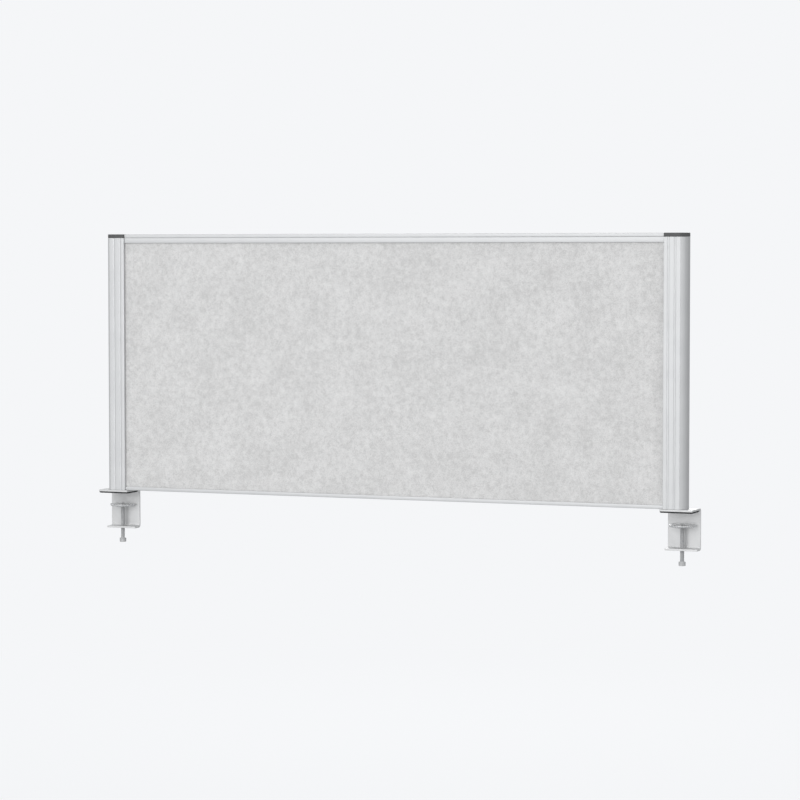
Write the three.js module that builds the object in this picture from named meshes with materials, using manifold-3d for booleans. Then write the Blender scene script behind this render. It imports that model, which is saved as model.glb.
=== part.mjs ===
// A desk privacy panel: a felt-faced acoustic screen in an aluminium frame, which two screw
// clamps hold on the edge of a desk. Millimetres, +Z up. The panel runs along X.
// The origin is on the desk top, midway between the two clamps, in the panel's middle plane.
// The clamps open towards -Y, so the desk lies on the -Y side and its edge meets the clamp webs.

import * as THREE from 'three';
import { mergeVertices } from 'three/addons/utils/BufferGeometryUtils.js';
import Module from 'manifold-3d';

const wasm = await Module();
wasm.setup();

// ---------------------------------------------------------------- driving dimensions

const overallWidth = 1200;     // over the rounded ends of the two posts
const postLength = 500;        // the aluminium extrusion, without its cap
const capThickness = 7;
const clearance = 0.2;         // between pieces that rest on each other
const roundSegments = 24;      // round a full circle
const bendSegments = 6;        // round a quarter bend or corner
const endSegments = 16;        // round the end of a post
const smallSegments = 12;      // round a small hidden screw

// Post section
const postDepth = 44;          // along Y
const postBulge = 11;          // how far the round end stands out past its corners
const postFace = 32;           // flat front face, from the panel side to the corner
const postWall = 2.5;
const flutes = [9, 22];        // shallow round grooves in the flat faces, from the panel side
const fluteWidth = 4.6;
const fluteDepth = 0.8;
const channelDepth = 8;        // the channel that takes the panel's edge
const portOffset = 21;         // screw ports, from the panel side
const portSpread = 14;         // screw ports, from the middle plane
const portBossRadius = 5.6;
const portRadius = 2.7;
const spigotDepth = 6;         // the cap's plug inside the post
const plugWall = 2;

// Panel and rails
const feltThickness = 3;
const panelThickness = 32;     // over both felts
const slotClearance = 0.4;     // between the panel and the walls that hold it
const railDepth = 39;
const topRailHeight = 10;
const bottomRailHeight = 7;
const railWeb = 2.8;
const coverWall = 2.2;
const clipRib = 1.5;           // the rail's ribs and the strip's legs that clip over them
const clipRibSpread = 12;
const ribRoom = 1.4;           // over the rail's ribs
const legRoom = 0.8;           // under the strip's legs
const overlap = 0.5;           // how far joined shapes run into each other

// Corner brackets inside the frame
const cornerSheet = 2.5;
const cornerLeg = 40;
const cornerWidth = 22;
const notchDepth = 8;          // the room the core leaves for a corner bracket
const notchReach = cornerLeg + 4;
const railScrewPlace = 28;     // from the post's channel mouth
const postScrewPlace = 27;     // from the rail's web
const cornerHole = 2.6;

// Small fixing screws
const shankRadius = 2.4;
const panHead = { radius: 4.5, height: 2.6, crown: 0.9, slope: 1 };
const flatHead = { radius: 4.6, rim: 0.3, height: 2.4 };
const shankHole = 2.8;
const socketFlats = 3;
const socketReach = 1.4;
const cornerScrewLength = 9;
const footScrewLength = 22;

// Clamp
const padThickness = 3;
const sheet = 3.5;
const bendRadius = 3;          // inside the bend
const clampWidth = 63;
const clampPlace = 583;        // from the middle of the panel to each clamp's axis
const plateFront = -23.6;
const webFace = 30;
const jawHeight = 72;          // desk top to the underside of the lower flange
const flangeFront = 9.8;
const cornerRound = 1;         // the plate's and the flange's corners in plan
const padFront = -22.5;
const padBack = 24;
const screwPlace = 17.8;       // the clamp screw's axis, along Y

// Clamp screw, M8 with a socket head, at the place where the jaw is 23.5 mm open
const jawGap = 23.5;
const screwRadius = 3.9;
const headRadius = 6.5;
const headHeight = 8;
const headChamfer = 0.8;
const shoulderChamfer = 0.6;
const socketAcrossFlats = 6;
const socketDepth = 4;
const shankBelowFlange = 20.3;
const tipRadius = 2.5;
const tipGroove = 0.5;
const tipLand = 0.5;           // above the groove
const tipRecess = 0.4;         // the tip stays this far under the pressure plate's top
const clipThickness = 0.6;
const clipRadius = 4;
const clipFit = 0.15;          // between the ring and the groove's floor

// Pressure plate, round with one flat side that runs along the web
const plateRadius = 25;
const plateHeight = 4.5;
const plateSkin = 2;
const plateRim = 2.5;
const plateFlat = 11.6;        // from the screw's axis to the flat side
const hubRadius = 8;
const hubBore = 2.8;
const clipWell = 4.8;

// Threaded bush in the lower flange
const bushBodyRadius = 5.4;
const bushCollarRadius = 6.4;
const bushCollar = 0.8;
const bushBore = 4.1;

// ---------------------------------------------------------------- worked-out places

const plateTop = padThickness + sheet;
const postFoot = plateTop + clearance;
const postTop = postFoot + postLength;
const postInner = overallWidth / 2 - postBulge - postFace;
const endRadius = (postDepth ** 2 / 4 + postBulge ** 2) / (2 * postBulge);
const fluteRadius = (fluteWidth ** 2 / 4 + fluteDepth ** 2) / (2 * fluteDepth);
const channelFloor = channelDepth + postWall;
const railLength = 2 * (postInner - clearance);
const railWall = railDepth / 2 - panelThickness / 2 - slotClearance;
const panelFoot = postFoot + railWeb + clearance;
const panelTop = postTop - railWeb - clearance;
const panelEnd = postInner + channelDepth - slotClearance;
const coreThickness = panelThickness - 2 * feltThickness - clearance;
const flangeTop = -jawHeight + sheet;
const pressureTop = -jawGap;
const pressureFoot = pressureTop - plateHeight;

// ---------------------------------------------------------------- finishes

const finish = (color, roughness, metalness) =>
  new THREE.MeshStandardMaterial({ color, roughness, metalness });

const anodised = finish(0xc9cbcd, 0.42, 0.85);
const greyPlastic = finish(0x4b4b50, 0.6, 0);
const felt = finish(0xb6b7b8, 0.98, 0);
const foam = finish(0xe4e3de, 0.95, 0);
const powderCoat = finish(0xc4c6c8, 0.5, 0.35);
const rubber = finish(0x2f3033, 0.85, 0);
const zincPlate = finish(0xa9abad, 0.35, 0.95);
const springSteel = finish(0x55575a, 0.4, 0.9);

// ---------------------------------------------------------------- shape helpers

function toSolid(geometry) {
  const bare = geometry.clone();
  bare.deleteAttribute('normal');
  bare.deleteAttribute('uv');
  const merged = mergeVertices(bare, 1e-4);
  return new wasm.Manifold(new wasm.Mesh({
    numProp: 3,
    vertProperties: new Float32Array(merged.attributes.position.array),
    triVerts: new Uint32Array(merged.index.array),
  }));
}

function toGeometry(solid) {
  const { vertProperties, triVerts } = solid.getMesh();
  const geometry = new THREE.BufferGeometry();
  geometry.setAttribute('position', new THREE.BufferAttribute(vertProperties, 3));
  geometry.setIndex(new THREE.BufferAttribute(triVerts, 1));
  geometry.computeVertexNormals();
  return geometry;
}

const cut = (base, tools) =>
  toGeometry(tools.reduce((solid, tool) => solid.subtract(toSolid(tool)), toSolid(base)));

const join = (pieces) =>
  toGeometry(pieces.slice(1).reduce((solid, piece) => solid.add(toSolid(piece)), toSolid(pieces[0])));

const common = (a, b) => toGeometry(toSolid(a).intersect(toSolid(b)));

// An outline in plan, raised from one height to another.
function raise(outline, from, to, curveSegments = bendSegments) {
  const options = { depth: to - from, bevelEnabled: false, curveSegments };
  return new THREE.ExtrudeGeometry(outline, options).translate(0, 0, from);
}

// An outline drawn in Y and Z, run along X and centred on the middle of the panel.
function runAlongX(outline, length) {
  const axes = new THREE.Matrix4().makeBasis(
    new THREE.Vector3(0, 1, 0), new THREE.Vector3(0, 0, 1), new THREE.Vector3(1, 0, 0));
  return raise(outline, -length / 2, length / 2).applyMatrix4(axes);
}

// An outline drawn in X and Z, run along Y and centred on the middle plane.
function runAlongY(outline, length) {
  const axes = new THREE.Matrix4().makeBasis(
    new THREE.Vector3(1, 0, 0), new THREE.Vector3(0, 0, 1), new THREE.Vector3(0, -1, 0));
  return raise(outline, -length / 2, length / 2).applyMatrix4(axes);
}

const polygon = (corners) => new THREE.Shape(corners.map(([u, v]) => new THREE.Vector2(u, v)));

function block(x0, x1, y0, y1, z0, z1) {
  return new THREE.BoxGeometry(x1 - x0, y1 - y0, z1 - z0)
    .translate((x0 + x1) / 2, (y0 + y1) / 2, (z0 + z1) / 2);
}

function rod(radius, z0, z1, segments = roundSegments) {
  return new THREE.CylinderGeometry(radius, radius, z1 - z0, segments)
    .rotateX(Math.PI / 2)
    .translate(0, 0, (z0 + z1) / 2);
}

// A turned piece about Z, from pairs of radius and height that start and end on the axis.
function turned(profile, segments = roundSegments) {
  const points = profile.map(([radius, z]) => new THREE.Vector2(radius, z));
  return new THREE.LatheGeometry(points, segments).rotateX(Math.PI / 2);
}

// A hexagonal socket that opens at the foot of a screw's head.
const hexSocket = (acrossFlats, foot, depth) =>
  rod(acrossFlats / Math.sqrt(3), foot - 1, foot + depth, 6);

// ---------------------------------------------------------------- fasteners

// Both screws point along +Z, with z = 0 where the head meets what it holds.
function panScrew(length) {
  const { radius, height, crown, slope } = panHead;
  const profile = [
    [0, -height], [radius - crown, -height], [radius, slope - height], [radius, 0],
    [shankRadius, 0], [shankRadius, length], [0, length],
  ];
  return cut(turned(profile, smallSegments), [hexSocket(socketFlats, -height, socketReach)]);
}

// The flat head's face is at z = 0 and its cone narrows upwards.
function flatHeadScrew(length) {
  const { radius, rim, height } = flatHead;
  const profile = [
    [0, 0], [radius, 0], [radius, rim], [shankRadius, height], [shankRadius, length], [0, length],
  ];
  return cut(turned(profile, smallSegments), [hexSocket(socketFlats, 0, socketReach)]);
}

// The countersunk hole for it, a little wider all round.
function flatHeadHole(depth) {
  const gap = shankHole - shankRadius;
  const wide = flatHead.radius + gap;
  const profile = [
    [0, -1], [wide, -1], [wide, flatHead.rim], [shankHole, flatHead.height + gap],
    [shankHole, depth], [0, depth],
  ];
  return turned(profile, smallSegments);
}

// ---------------------------------------------------------------- post and cap

// One shallow round groove in a flat face. `side` is -1 on the front face and 1 on the back one.
function addFlute(plan, place, side) {
  const out = fluteRadius - fluteDepth;
  const half = Math.asin(fluteWidth / 2 / fluteRadius);
  const middle = -side * Math.PI / 2;
  plan.lineTo(place + side * fluteWidth / 2, side * postDepth / 2);
  plan.absarc(place, side * (postDepth / 2 + out), fluteRadius, middle + half, middle - half, true);
}

// The post's plan, with the panel side at x = 0 and the round end towards +X.
function postPlan(fluted) {
  const side = postDepth / 2;
  const halfAngle = Math.asin(side / endRadius);
  const places = fluted ? flutes : [];
  const plan = new THREE.Shape();
  plan.moveTo(0, -side);
  for (const place of places) addFlute(plan, place, -1);
  plan.lineTo(postFace, -side);
  plan.absarc(postFace + postBulge - endRadius, 0, endRadius, -halfAngle, halfAngle, false);
  for (const place of [...places].reverse()) addFlute(plan, place, 1);
  plan.lineTo(0, side);
  plan.closePath();
  return plan;
}

// The hollow behind the channel, drawn `inset` inside its walls.
function chamberPlan(inset) {
  const side = postDepth / 2 - postWall - inset;
  const radius = endRadius - postWall - inset;
  const halfAngle = Math.asin(side / radius);
  const plan = new THREE.Shape();
  plan.moveTo(channelFloor + inset, -side);
  plan.lineTo(postFace + postBulge - endRadius, -side);
  plan.absarc(postFace + postBulge - endRadius, 0, radius, -halfAngle, halfAngle, false);
  plan.lineTo(channelFloor + inset, side);
  plan.closePath();
  return plan;
}

const atPorts = (shape) => [-1, 1].map((y) => shape.clone().translate(portOffset, y * portSpread, 0));

function postGeometry() {
  const slot = panelThickness / 2 + slotClearance;
  const bosses = atPorts(rod(portBossRadius, -2, postLength + 2));
  const hollow = cut(raise(chamberPlan(0), -1, postLength + 1, endSegments), bosses);
  const channel = block(-1, channelDepth, -slot, slot, -1, postLength + 1);
  const screwHoles = [postScrewHeight('bottom'), postScrewHeight('top')].map((height) =>
    rod(cornerHole, 0, 2 * postWall + 2)
      .rotateY(Math.PI / 2)
      .translate(channelDepth - 1, 0, height - postFoot));
  const ports = atPorts(rod(portRadius, -1, postLength + 1));
  const body = raise(postPlan(true), 0, postLength, endSegments);
  return cut(body, [hollow, channel, ...ports, ...screwHoles]);
}

function capGeometry() {
  const bosses = atPorts(rod(portBossRadius + slotClearance, -spigotDepth - 1, 0));
  const plug = cut(raise(chamberPlan(slotClearance), -spigotDepth, overlap, endSegments), bosses);
  const inside = cut(raise(chamberPlan(plugWall), -spigotDepth - 1, -overlap, endSegments),
    atPorts(rod(portBossRadius + plugWall, -spigotDepth - 2, 1)));
  return join([cut(plug, [inside]), raise(postPlan(false), 0, capThickness, endSegments)]);
}

// ---------------------------------------------------------------- rails and cover strip

// A channel outline: a web with a wall on each side, drawn from the web's outer face at v = 0.
function channelOutline(height, web, wall, halfDepth = railDepth / 2) {
  return [
    [-halfDepth, 0], [halfDepth, 0], [halfDepth, height], [halfDepth - wall, height],
    [halfDepth - wall, web], [-halfDepth + wall, web], [-halfDepth + wall, height], [-halfDepth, height],
  ];
}

// The same outline turned over, so that its web is on top.
const turnedOver = (outline, top) => outline.map(([u, v]) => [-u, top - v]);

function railScrewHoles(shape) {
  const place = postInner - railScrewPlace;
  return [-place, place].map((x) => shape.clone().translate(x, 0, 0));
}

function topRailGeometry() {
  const outline = turnedOver(channelOutline(topRailHeight, railWeb, railWall), postTop);
  const ribs = [-1, 1].map((side) => block(
    -railLength / 2, railLength / 2,
    side * clipRibSpread - clipRib / 2, side * clipRibSpread + clipRib / 2,
    postTop - overlap, postTop + capThickness - coverWall - ribRoom));
  const rail = join([runAlongX(polygon(outline), railLength), ...ribs]);
  return cut(rail, railScrewHoles(rod(shankHole, postTop - railWeb - 1, postTop + 1)));
}

function coverStripGeometry() {
  const top = postTop + capThickness;
  const outline = turnedOver(channelOutline(capThickness - clearance, coverWall, coverWall), top);
  const legs = [-1, 1].map((side) => {
    const inner = clipRibSpread + clipRib / 2 + clearance;
    const [y0, y1] = [side * inner, side * (inner + clipRib)].sort((a, b) => a - b);
    return block(-railLength / 2, railLength / 2, y0, y1, postTop + legRoom, top - coverWall + overlap);
  });
  return join([runAlongX(polygon(outline), railLength), ...legs]);
}

function bottomRailGeometry() {
  const outline = channelOutline(bottomRailHeight, railWeb, railWall).map(([u, v]) => [u, v + postFoot]);
  const holes = railScrewHoles(flatHeadHole(railWeb + 1).translate(0, 0, postFoot));
  return cut(runAlongX(polygon(outline), railLength), holes);
}

// ---------------------------------------------------------------- panel

function feltGeometry(side) {
  const outer = panelThickness / 2;
  const [y0, y1] = side < 0 ? [-outer, -outer + feltThickness] : [outer - feltThickness, outer];
  return block(-panelEnd, panelEnd, y0, y1, panelFoot, panelTop);
}

function coreGeometry() {
  const half = coreThickness / 2;
  const notches = [-1, 1].flatMap((end) => [-1, 1].flatMap((level) => {
    const [xEdge, zEdge] = [end * (panelEnd + 1), level > 0 ? panelTop + 1 : panelFoot - 1];
    const span = (edge, sign, depth) => [edge, edge - sign * (depth + 1)].sort((a, b) => a - b);
    return [
      block(...span(xEdge, end, notchReach), -half - 1, half + 1, ...span(zEdge, level, notchDepth)),
      block(...span(xEdge, end, notchDepth), -half - 1, half + 1, ...span(zEdge, level, notchReach)),
    ];
  }));
  return cut(block(-panelEnd, panelEnd, -half, half, panelFoot, panelTop), notches);
}

// ---------------------------------------------------------------- corner brackets

// How high above the desk the screw sits that fastens a corner bracket to the post.
function postScrewHeight(level) {
  return level === 'top' ? panelTop - postScrewPlace : panelFoot + postScrewPlace;
}

// An angle whose legs lie on the channel's floor and on the rail's web, for the bottom corner.
function cornerGeometry() {
  const wall = channelDepth - clearance;
  const outline = [
    [wall, 0], [wall, cornerLeg], [wall - cornerSheet, cornerLeg], [wall - cornerSheet, cornerSheet],
    [wall - cornerLeg, cornerSheet], [wall - cornerLeg, 0],
  ];
  const railHole = rod(cornerHole, -1, cornerSheet + 1).translate(-railScrewPlace, 0, 0);
  const postHole = rod(cornerHole, 0, cornerSheet + 2)
    .rotateY(Math.PI / 2)
    .translate(wall - cornerSheet - 1, 0, postScrewPlace);
  return cut(runAlongY(polygon(outline), cornerWidth), [railHole, postHole]);
}

// ---------------------------------------------------------------- clamp

// The bracket's side view in Y and Z: top plate, bend, web, bend and lower flange.
function bracketOutline() {
  const inner = bendRadius;
  const outer = bendRadius + sheet;
  const bendY = webFace - inner;
  const upper = padThickness - inner;
  const lower = flangeTop + inner;
  const outline = new THREE.Shape();
  outline.moveTo(plateFront, padThickness);
  outline.lineTo(bendY, padThickness);
  outline.absarc(bendY, upper, inner, Math.PI / 2, 0, true);
  outline.absarc(bendY, lower, inner, 0, -Math.PI / 2, true);
  outline.lineTo(flangeFront, flangeTop);
  outline.lineTo(flangeFront, -jawHeight);
  outline.absarc(bendY, lower, outer, -Math.PI / 2, 0, false);
  outline.absarc(bendY, upper, outer, 0, Math.PI / 2, false);
  outline.lineTo(plateFront, plateTop);
  outline.closePath();
  return outline;
}

function roundedPlan(x0, x1, y0, y1, radius) {
  const plan = new THREE.Shape();
  plan.moveTo(x0 + radius, y0);
  plan.lineTo(x1 - radius, y0);
  plan.absarc(x1 - radius, y0 + radius, radius, -Math.PI / 2, 0, false);
  plan.lineTo(x1, y1);
  plan.lineTo(x0, y1);
  plan.absarc(x0 + radius, y0 + radius, radius, Math.PI, 1.5 * Math.PI, false);
  plan.closePath();
  return plan;
}

// The sheet is bent up, its front corners are rounded, and then it is drilled.
function bracketGeometry(side) {
  const half = clampWidth / 2;
  const blank = runAlongX(bracketOutline(), clampWidth);
  const back = webFace + sheet + 1;
  const split = -jawHeight / 2;
  const plate = raise(roundedPlan(-half, half, plateFront, back, cornerRound), split, plateTop + 1);
  const flange = raise(roundedPlan(-half, half, flangeFront, back, cornerRound), -jawHeight - 1, split);
  const bushHole = rod(bushBodyRadius + clearance, -jawHeight - 1, flangeTop + 1)
    .translate(0, screwPlace, 0);
  const postHoles = [-1, 1].map((y) => flatHeadHole(sheet + 1)
    .translate(side * (postInner + portOffset - clampPlace), y * portSpread, padThickness));
  return cut(common(blank, join([plate, flange])), [bushHole, ...postHoles]);
}

function padGeometry() {
  const half = clampWidth / 2 - 0.5;
  return raise(roundedPlan(-half, half, padFront, padBack, cornerRound), 0, padThickness - clearance);
}

function bushGeometry() {
  const body = rod(bushBodyRadius, -jawHeight, flangeTop + 1);
  const collar = rod(bushCollarRadius, flangeTop + clearance, flangeTop + clearance + bushCollar);
  return cut(join([body, collar]), [rod(bushBore, -jawHeight - 1, flangeTop + bushCollar + 2)]);
}

// The screw stands head down. Its shoulder carries the pressure plate, and its tip passes through.
function clampScrewGeometry() {
  const headTop = -jawHeight - shankBelowFlange;
  const headFoot = headTop - headHeight;
  const shoulder = pressureFoot - clearance;
  const tipTop = pressureTop - tipRecess;
  const grooveTop = tipTop - tipLand;
  const grooveFoot = grooveTop - clipThickness - clearance;
  const profile = [
    [0, headFoot], [headRadius - headChamfer, headFoot], [headRadius, headFoot + headChamfer],
    [headRadius, headTop], [screwRadius, headTop], [screwRadius, shoulder - shoulderChamfer],
    [screwRadius - shoulderChamfer, shoulder], [tipRadius, shoulder],
    [tipRadius, grooveFoot], [tipRadius - tipGroove, grooveFoot],
    [tipRadius - tipGroove, grooveTop], [tipRadius, grooveTop], [tipRadius, tipTop], [0, tipTop],
  ];
  return cut(turned(profile), [hexSocket(socketAcrossFlats, headFoot, socketDepth)]);
}

// A snap ring in the tip's groove keeps the pressure plate on the screw.
function clipGeometry() {
  const top = pressureTop - tipRecess - tipLand - clearance / 2;
  const foot = top - clipThickness;
  return cut(rod(clipRadius, foot, top), [rod(tipRadius - tipGroove + clipFit, foot - 1, top + 1)]);
}

// A shallow dish with a turned-down rim, a hub round the screw's tip and one flat side.
function pressurePlateGeometry() {
  const skinFoot = pressureTop - plateSkin;
  const disc = cut(rod(plateRadius, pressureFoot, pressureTop, 2 * roundSegments),
    [rod(plateRadius - plateRim, pressureFoot - 1, skinFoot, 2 * roundSegments)]);
  const hub = rod(hubRadius, pressureFoot, skinFoot + overlap);
  const inTheRim = rod(plateRadius - overlap, pressureFoot, skinFoot + overlap, 2 * roundSegments);
  const alongTheFlat = block(-plateRadius, plateRadius, plateFlat - plateRim, plateFlat + 1,
    pressureFoot - 1, pressureTop);
  const flatWall = common(inTheRim, alongTheFlat);
  const beyondFlat = block(-plateRadius - 1, plateRadius + 1, plateFlat, plateRadius + 1,
    pressureFoot - 1, pressureTop + 1);
  const bore = rod(hubBore, pressureFoot - 1, pressureTop + 1);
  const well = rod(clipWell, skinFoot, pressureTop + 1);
  return cut(join([disc, hub, flatWall]), [beyondFlat, bore, well]);
}

// ---------------------------------------------------------------- assembly

function piece(name, geometry, material, place = [0, 0, 0], turn = [0, 0, 0]) {
  const mesh = new THREE.Mesh(geometry, material);
  mesh.name = name;
  mesh.position.set(...place);
  mesh.rotation.set(...turn);
  return mesh;
}

// A post with its cap and foot screws, and the corner brackets that tie it to the rails.
function frameEnd(name, side) {
  const end = new THREE.Group();
  end.position.set(side * postInner, 0, 0);
  end.rotation.z = side > 0 ? 0 : Math.PI;
  end.add(piece(`${name}_post`, postGeometry(), anodised, [0, 0, postFoot]));
  end.add(piece(`${name}_post_cap`, capGeometry(), greyPlastic, [0, 0, postTop + clearance]));
  for (const [label, y] of [['front', -side], ['back', side]]) {
    const place = [portOffset, y * portSpread, padThickness];
    end.add(piece(`${name}_post_screw_${label}`, flatHeadScrew(footScrewLength), zincPlate, place));
  }
  for (const level of ['top', 'bottom']) {
    const isTop = level === 'top';
    const turn = [isTop ? Math.PI : 0, 0, 0];
    const corner = `${name}_${level}_corner`;
    const legFace = channelDepth - clearance - cornerSheet - clearance;
    end.add(piece(corner, cornerGeometry(), zincPlate, [0, 0, isTop ? panelTop : panelFoot], turn));
    end.add(piece(`${corner}_post_screw`, panScrew(cornerScrewLength), zincPlate,
      [legFace, 0, postScrewHeight(level)], [0, Math.PI / 2, 0]));
    const railScrew = isTop ? panScrew(cornerScrewLength) : flatHeadScrew(cornerScrewLength);
    const railFace = isTop ? postTop + clearance : postFoot;
    end.add(piece(`${corner}_rail_screw`, railScrew, zincPlate, [-railScrewPlace, 0, railFace], turn));
  }
  return end;
}

// One clamp, with its screw and pressure plate.
function clamp(name, side) {
  const group = new THREE.Group();
  group.position.set(side * clampPlace, 0, 0);
  const onScrew = [0, screwPlace, 0];
  group.add(piece(`${name}_clamp_bracket`, bracketGeometry(side), powderCoat));
  group.add(piece(`${name}_clamp_pad`, padGeometry(), rubber));
  group.add(piece(`${name}_threaded_bush`, bushGeometry(), zincPlate, onScrew));
  group.add(piece(`${name}_clamp_screw`, clampScrewGeometry(), zincPlate, onScrew));
  group.add(piece(`${name}_screw_clip`, clipGeometry(), springSteel, onScrew));
  group.add(piece(`${name}_pressure_plate`, pressurePlateGeometry(), zincPlate, onScrew));
  return group;
}

const group = new THREE.Group();
group.add(piece('top_rail', topRailGeometry(), anodised));
group.add(piece('top_cover_strip', coverStripGeometry(), anodised));
group.add(piece('bottom_rail', bottomRailGeometry(), anodised));
group.add(piece('front_felt', feltGeometry(-1), felt));
group.add(piece('back_felt', feltGeometry(1), felt));
group.add(piece('acoustic_core', coreGeometry(), foam));
for (const [name, side] of [['left', -1], ['right', 1]]) {
  group.add(frameEnd(name, side));
  group.add(clamp(name, side));
}

export default group;
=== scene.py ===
# %% [markdown]
# # A desk privacy panel, finished piece by piece
# The real object is a flat acoustic screen. Grey felt covers both faces, four aluminium sections frame
# it, and each end post stands on a bent steel bracket. A screw under each bracket squeezes the edge of
# a desk against a rubber pad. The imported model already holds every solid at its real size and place,
# so this lesson only makes surfaces: soft edges, grooves, threads, knurls, felt and coatings.

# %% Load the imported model
import math

import bmesh
import bpy
from mathutils import Matrix, Vector, noise
from mathutils.geometry import tessellate_polygon


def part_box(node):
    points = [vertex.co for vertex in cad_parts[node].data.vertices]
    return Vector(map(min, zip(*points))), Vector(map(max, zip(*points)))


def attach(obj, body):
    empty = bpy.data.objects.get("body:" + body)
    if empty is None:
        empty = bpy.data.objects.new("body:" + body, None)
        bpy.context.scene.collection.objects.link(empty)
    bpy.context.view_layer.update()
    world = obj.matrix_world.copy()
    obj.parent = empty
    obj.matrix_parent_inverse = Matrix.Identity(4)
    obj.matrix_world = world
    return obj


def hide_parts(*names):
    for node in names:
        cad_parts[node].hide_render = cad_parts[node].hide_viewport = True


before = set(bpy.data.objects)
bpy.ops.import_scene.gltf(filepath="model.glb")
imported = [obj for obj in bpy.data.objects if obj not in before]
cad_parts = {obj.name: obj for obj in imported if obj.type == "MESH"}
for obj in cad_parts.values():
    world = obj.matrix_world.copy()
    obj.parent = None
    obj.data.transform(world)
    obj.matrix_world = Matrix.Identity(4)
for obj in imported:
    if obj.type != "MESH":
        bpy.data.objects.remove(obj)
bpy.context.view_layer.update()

# %% [markdown]
# ## Millimetres on the drawing, metres in the scene
# A workshop drawing is in millimetres and the scene is in metres. Outlines below are drawn in
# millimetres, and one factor takes them to metres at the moment a vertex is made. Places are read from
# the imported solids, so nothing has to be lined up by eye.

# %% Read the places from the solids
MM = 0.001
SIDES = (("left", -1), ("right", 1))


def drawn(node):
    """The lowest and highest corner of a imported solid, in millimetres."""
    low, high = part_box(node)
    return low / MM, high / MM


POST_LOW, POST_HIGH = drawn("right_post")
CAP_LOW, CAP_HIGH = drawn("right_post_cap")
BRACKET_LOW, BRACKET_HIGH = drawn("right_clamp_bracket")
SCREW_LOW, SCREW_HIGH = drawn("right_clamp_screw")
PLATE_LOW, PLATE_HIGH = drawn("right_pressure_plate")
CLAMP_X = (BRACKET_LOW.x + BRACKET_HIGH.x) / 2
SCREW_Y = (SCREW_LOW.y + SCREW_HIGH.y) / 2
print(f"posts {POST_LOW.x:.1f} to {POST_HIGH.x:.1f}, clamps at {CLAMP_X:.1f}, "
      f"screws at y {SCREW_Y:.1f} mm")

# %% [markdown]
# ## The camera
# A long lens from about five and a half metres keeps the frame's edges nearly parallel. The camera
# stands to the right of the panel's middle, a little above its centre, and looks slightly down. It is
# made before any piece, so that each piece can be looked at as soon as it exists.

# %% Set up the camera
EYE = Vector((2.1356, -5.0485, 0.4745))
TURN_LEFT = math.radians(22.679)
LOOK_DOWN = math.radians(2.910)
ROLL = math.radians(0.009)
SENSOR_WIDTH = 36
LENS = 129.03

camera_data = bpy.data.cameras.new("camera")
camera_data.sensor_width = SENSOR_WIDTH
camera_data.lens = LENS
camera = bpy.data.objects.new("camera", camera_data)
camera.location = EYE
camera.rotation_euler = (math.pi / 2 - LOOK_DOWN, ROLL, TURN_LEFT)
bpy.context.scene.collection.objects.link(camera)
bpy.context.scene.camera = camera
print(f"camera {EYE.length:.2f} m away with a {camera_data.lens:.0f} mm lens")

# %% [markdown]
# ## Node trees written as sums
# A finish is a small calculation: so much streak, so much cloud, less of both where the edge is worn.
# Wiring that by hand hides the idea, so one class wraps an output socket and lets Python's own signs
# add the Math nodes. Another class adds any other node with a single method. Both work for shader
# trees and for Geometry Nodes trees alike.


# %% Write the maths class and the tree class
class Value:
    """An output socket. + - * / and ** on it add Math nodes to its tree."""

    def __init__(self, graph, socket):
        self.graph = graph
        self.socket = socket

    def math(self, operation, *terms):
        return self.graph.node("ShaderNodeMath", {"operation": operation}, dict(enumerate(terms)))

    def __add__(self, other):
        return self.math("ADD", self, other)

    __radd__ = __add__

    def __sub__(self, other):
        return self.math("SUBTRACT", self, other)

    def __rsub__(self, other):
        return self.math("SUBTRACT", other, self)

    def __mul__(self, other):
        return self.math("MULTIPLY", self, other)

    __rmul__ = __mul__

    def __truediv__(self, other):
        return self.math("DIVIDE", self, other)

    def __pow__(self, other):
        return self.math("POWER", self, other)

    def out(self, name):
        """Another output of the same node."""
        return Value(self.graph, self.socket.node.outputs[name])

    def between(self, low, high):
        """0 at `low`, 1 at `high`, and an even climb with soft ends between them."""
        settings = {"interpolation_type": "SMOOTHSTEP"}
        return self.graph.node("ShaderNodeMapRange", settings, {0: self, 1: low, 2: high})

    def clamped(self):
        return self.graph.node("ShaderNodeClamp", sockets={0: self})


class Graph:
    """A node tree that starts empty and is filled by one method."""

    def __init__(self, tree):
        self.tree = tree
        tree.nodes.clear()

    def node(self, kind, settings=None, sockets=None, output=0):
        """Adds a node, sets its settings, then fills or links its sockets. Gives one output."""
        made = self.tree.nodes.new(kind)
        for name, value in (settings or {}).items():
            setattr(made, name, value)
        for key, value in (sockets or {}).items():
            if isinstance(value, Value):
                self.tree.links.new(value.socket, made.inputs[key])
            else:
                made.inputs[key].default_value = value
        return Value(self, made.outputs[output]) if len(made.outputs) else None

    def noise(self, point, scale, detail=2, rough=0.5):
        """Noise from 0 to 1, with `scale` grains to the metre."""
        sockets = {"Vector": point, "Scale": scale, "Detail": detail, "Roughness": rough}
        return self.node("ShaderNodeTexNoise", sockets=sockets)

    def stretched(self, point, scale, turn=(0, 0, 0)):
        """The same coordinates, turned and then scaled by one number for each axis."""
        turned_point = self.node("ShaderNodeMapping", {"vector_type": "TEXTURE"},
                                 {"Vector": point, "Rotation": turn})
        return self.node("ShaderNodeVectorMath", {"operation": "MULTIPLY"}, {0: turned_point, 1: scale})

    def blend(self, factor, first, second):
        """A colour that goes from `first` to `second`."""
        return self.node("ShaderNodeMix", {"data_type": "RGBA"}, {0: factor, 6: first, 7: second}, 2)

    def bump(self, height, distance, strength=1.0):
        """A surface normal that rises and falls by `distance` metres."""
        sockets = {"Height": height, "Distance": distance, "Strength": strength}
        return self.node("ShaderNodeBump", sockets=sockets)


def grey(level, warmth=0.0):
    """A colour that is nearly grey, a little warmer or cooler."""
    return (level * (1 + warmth), level, level * (1 - warmth), 1)


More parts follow.
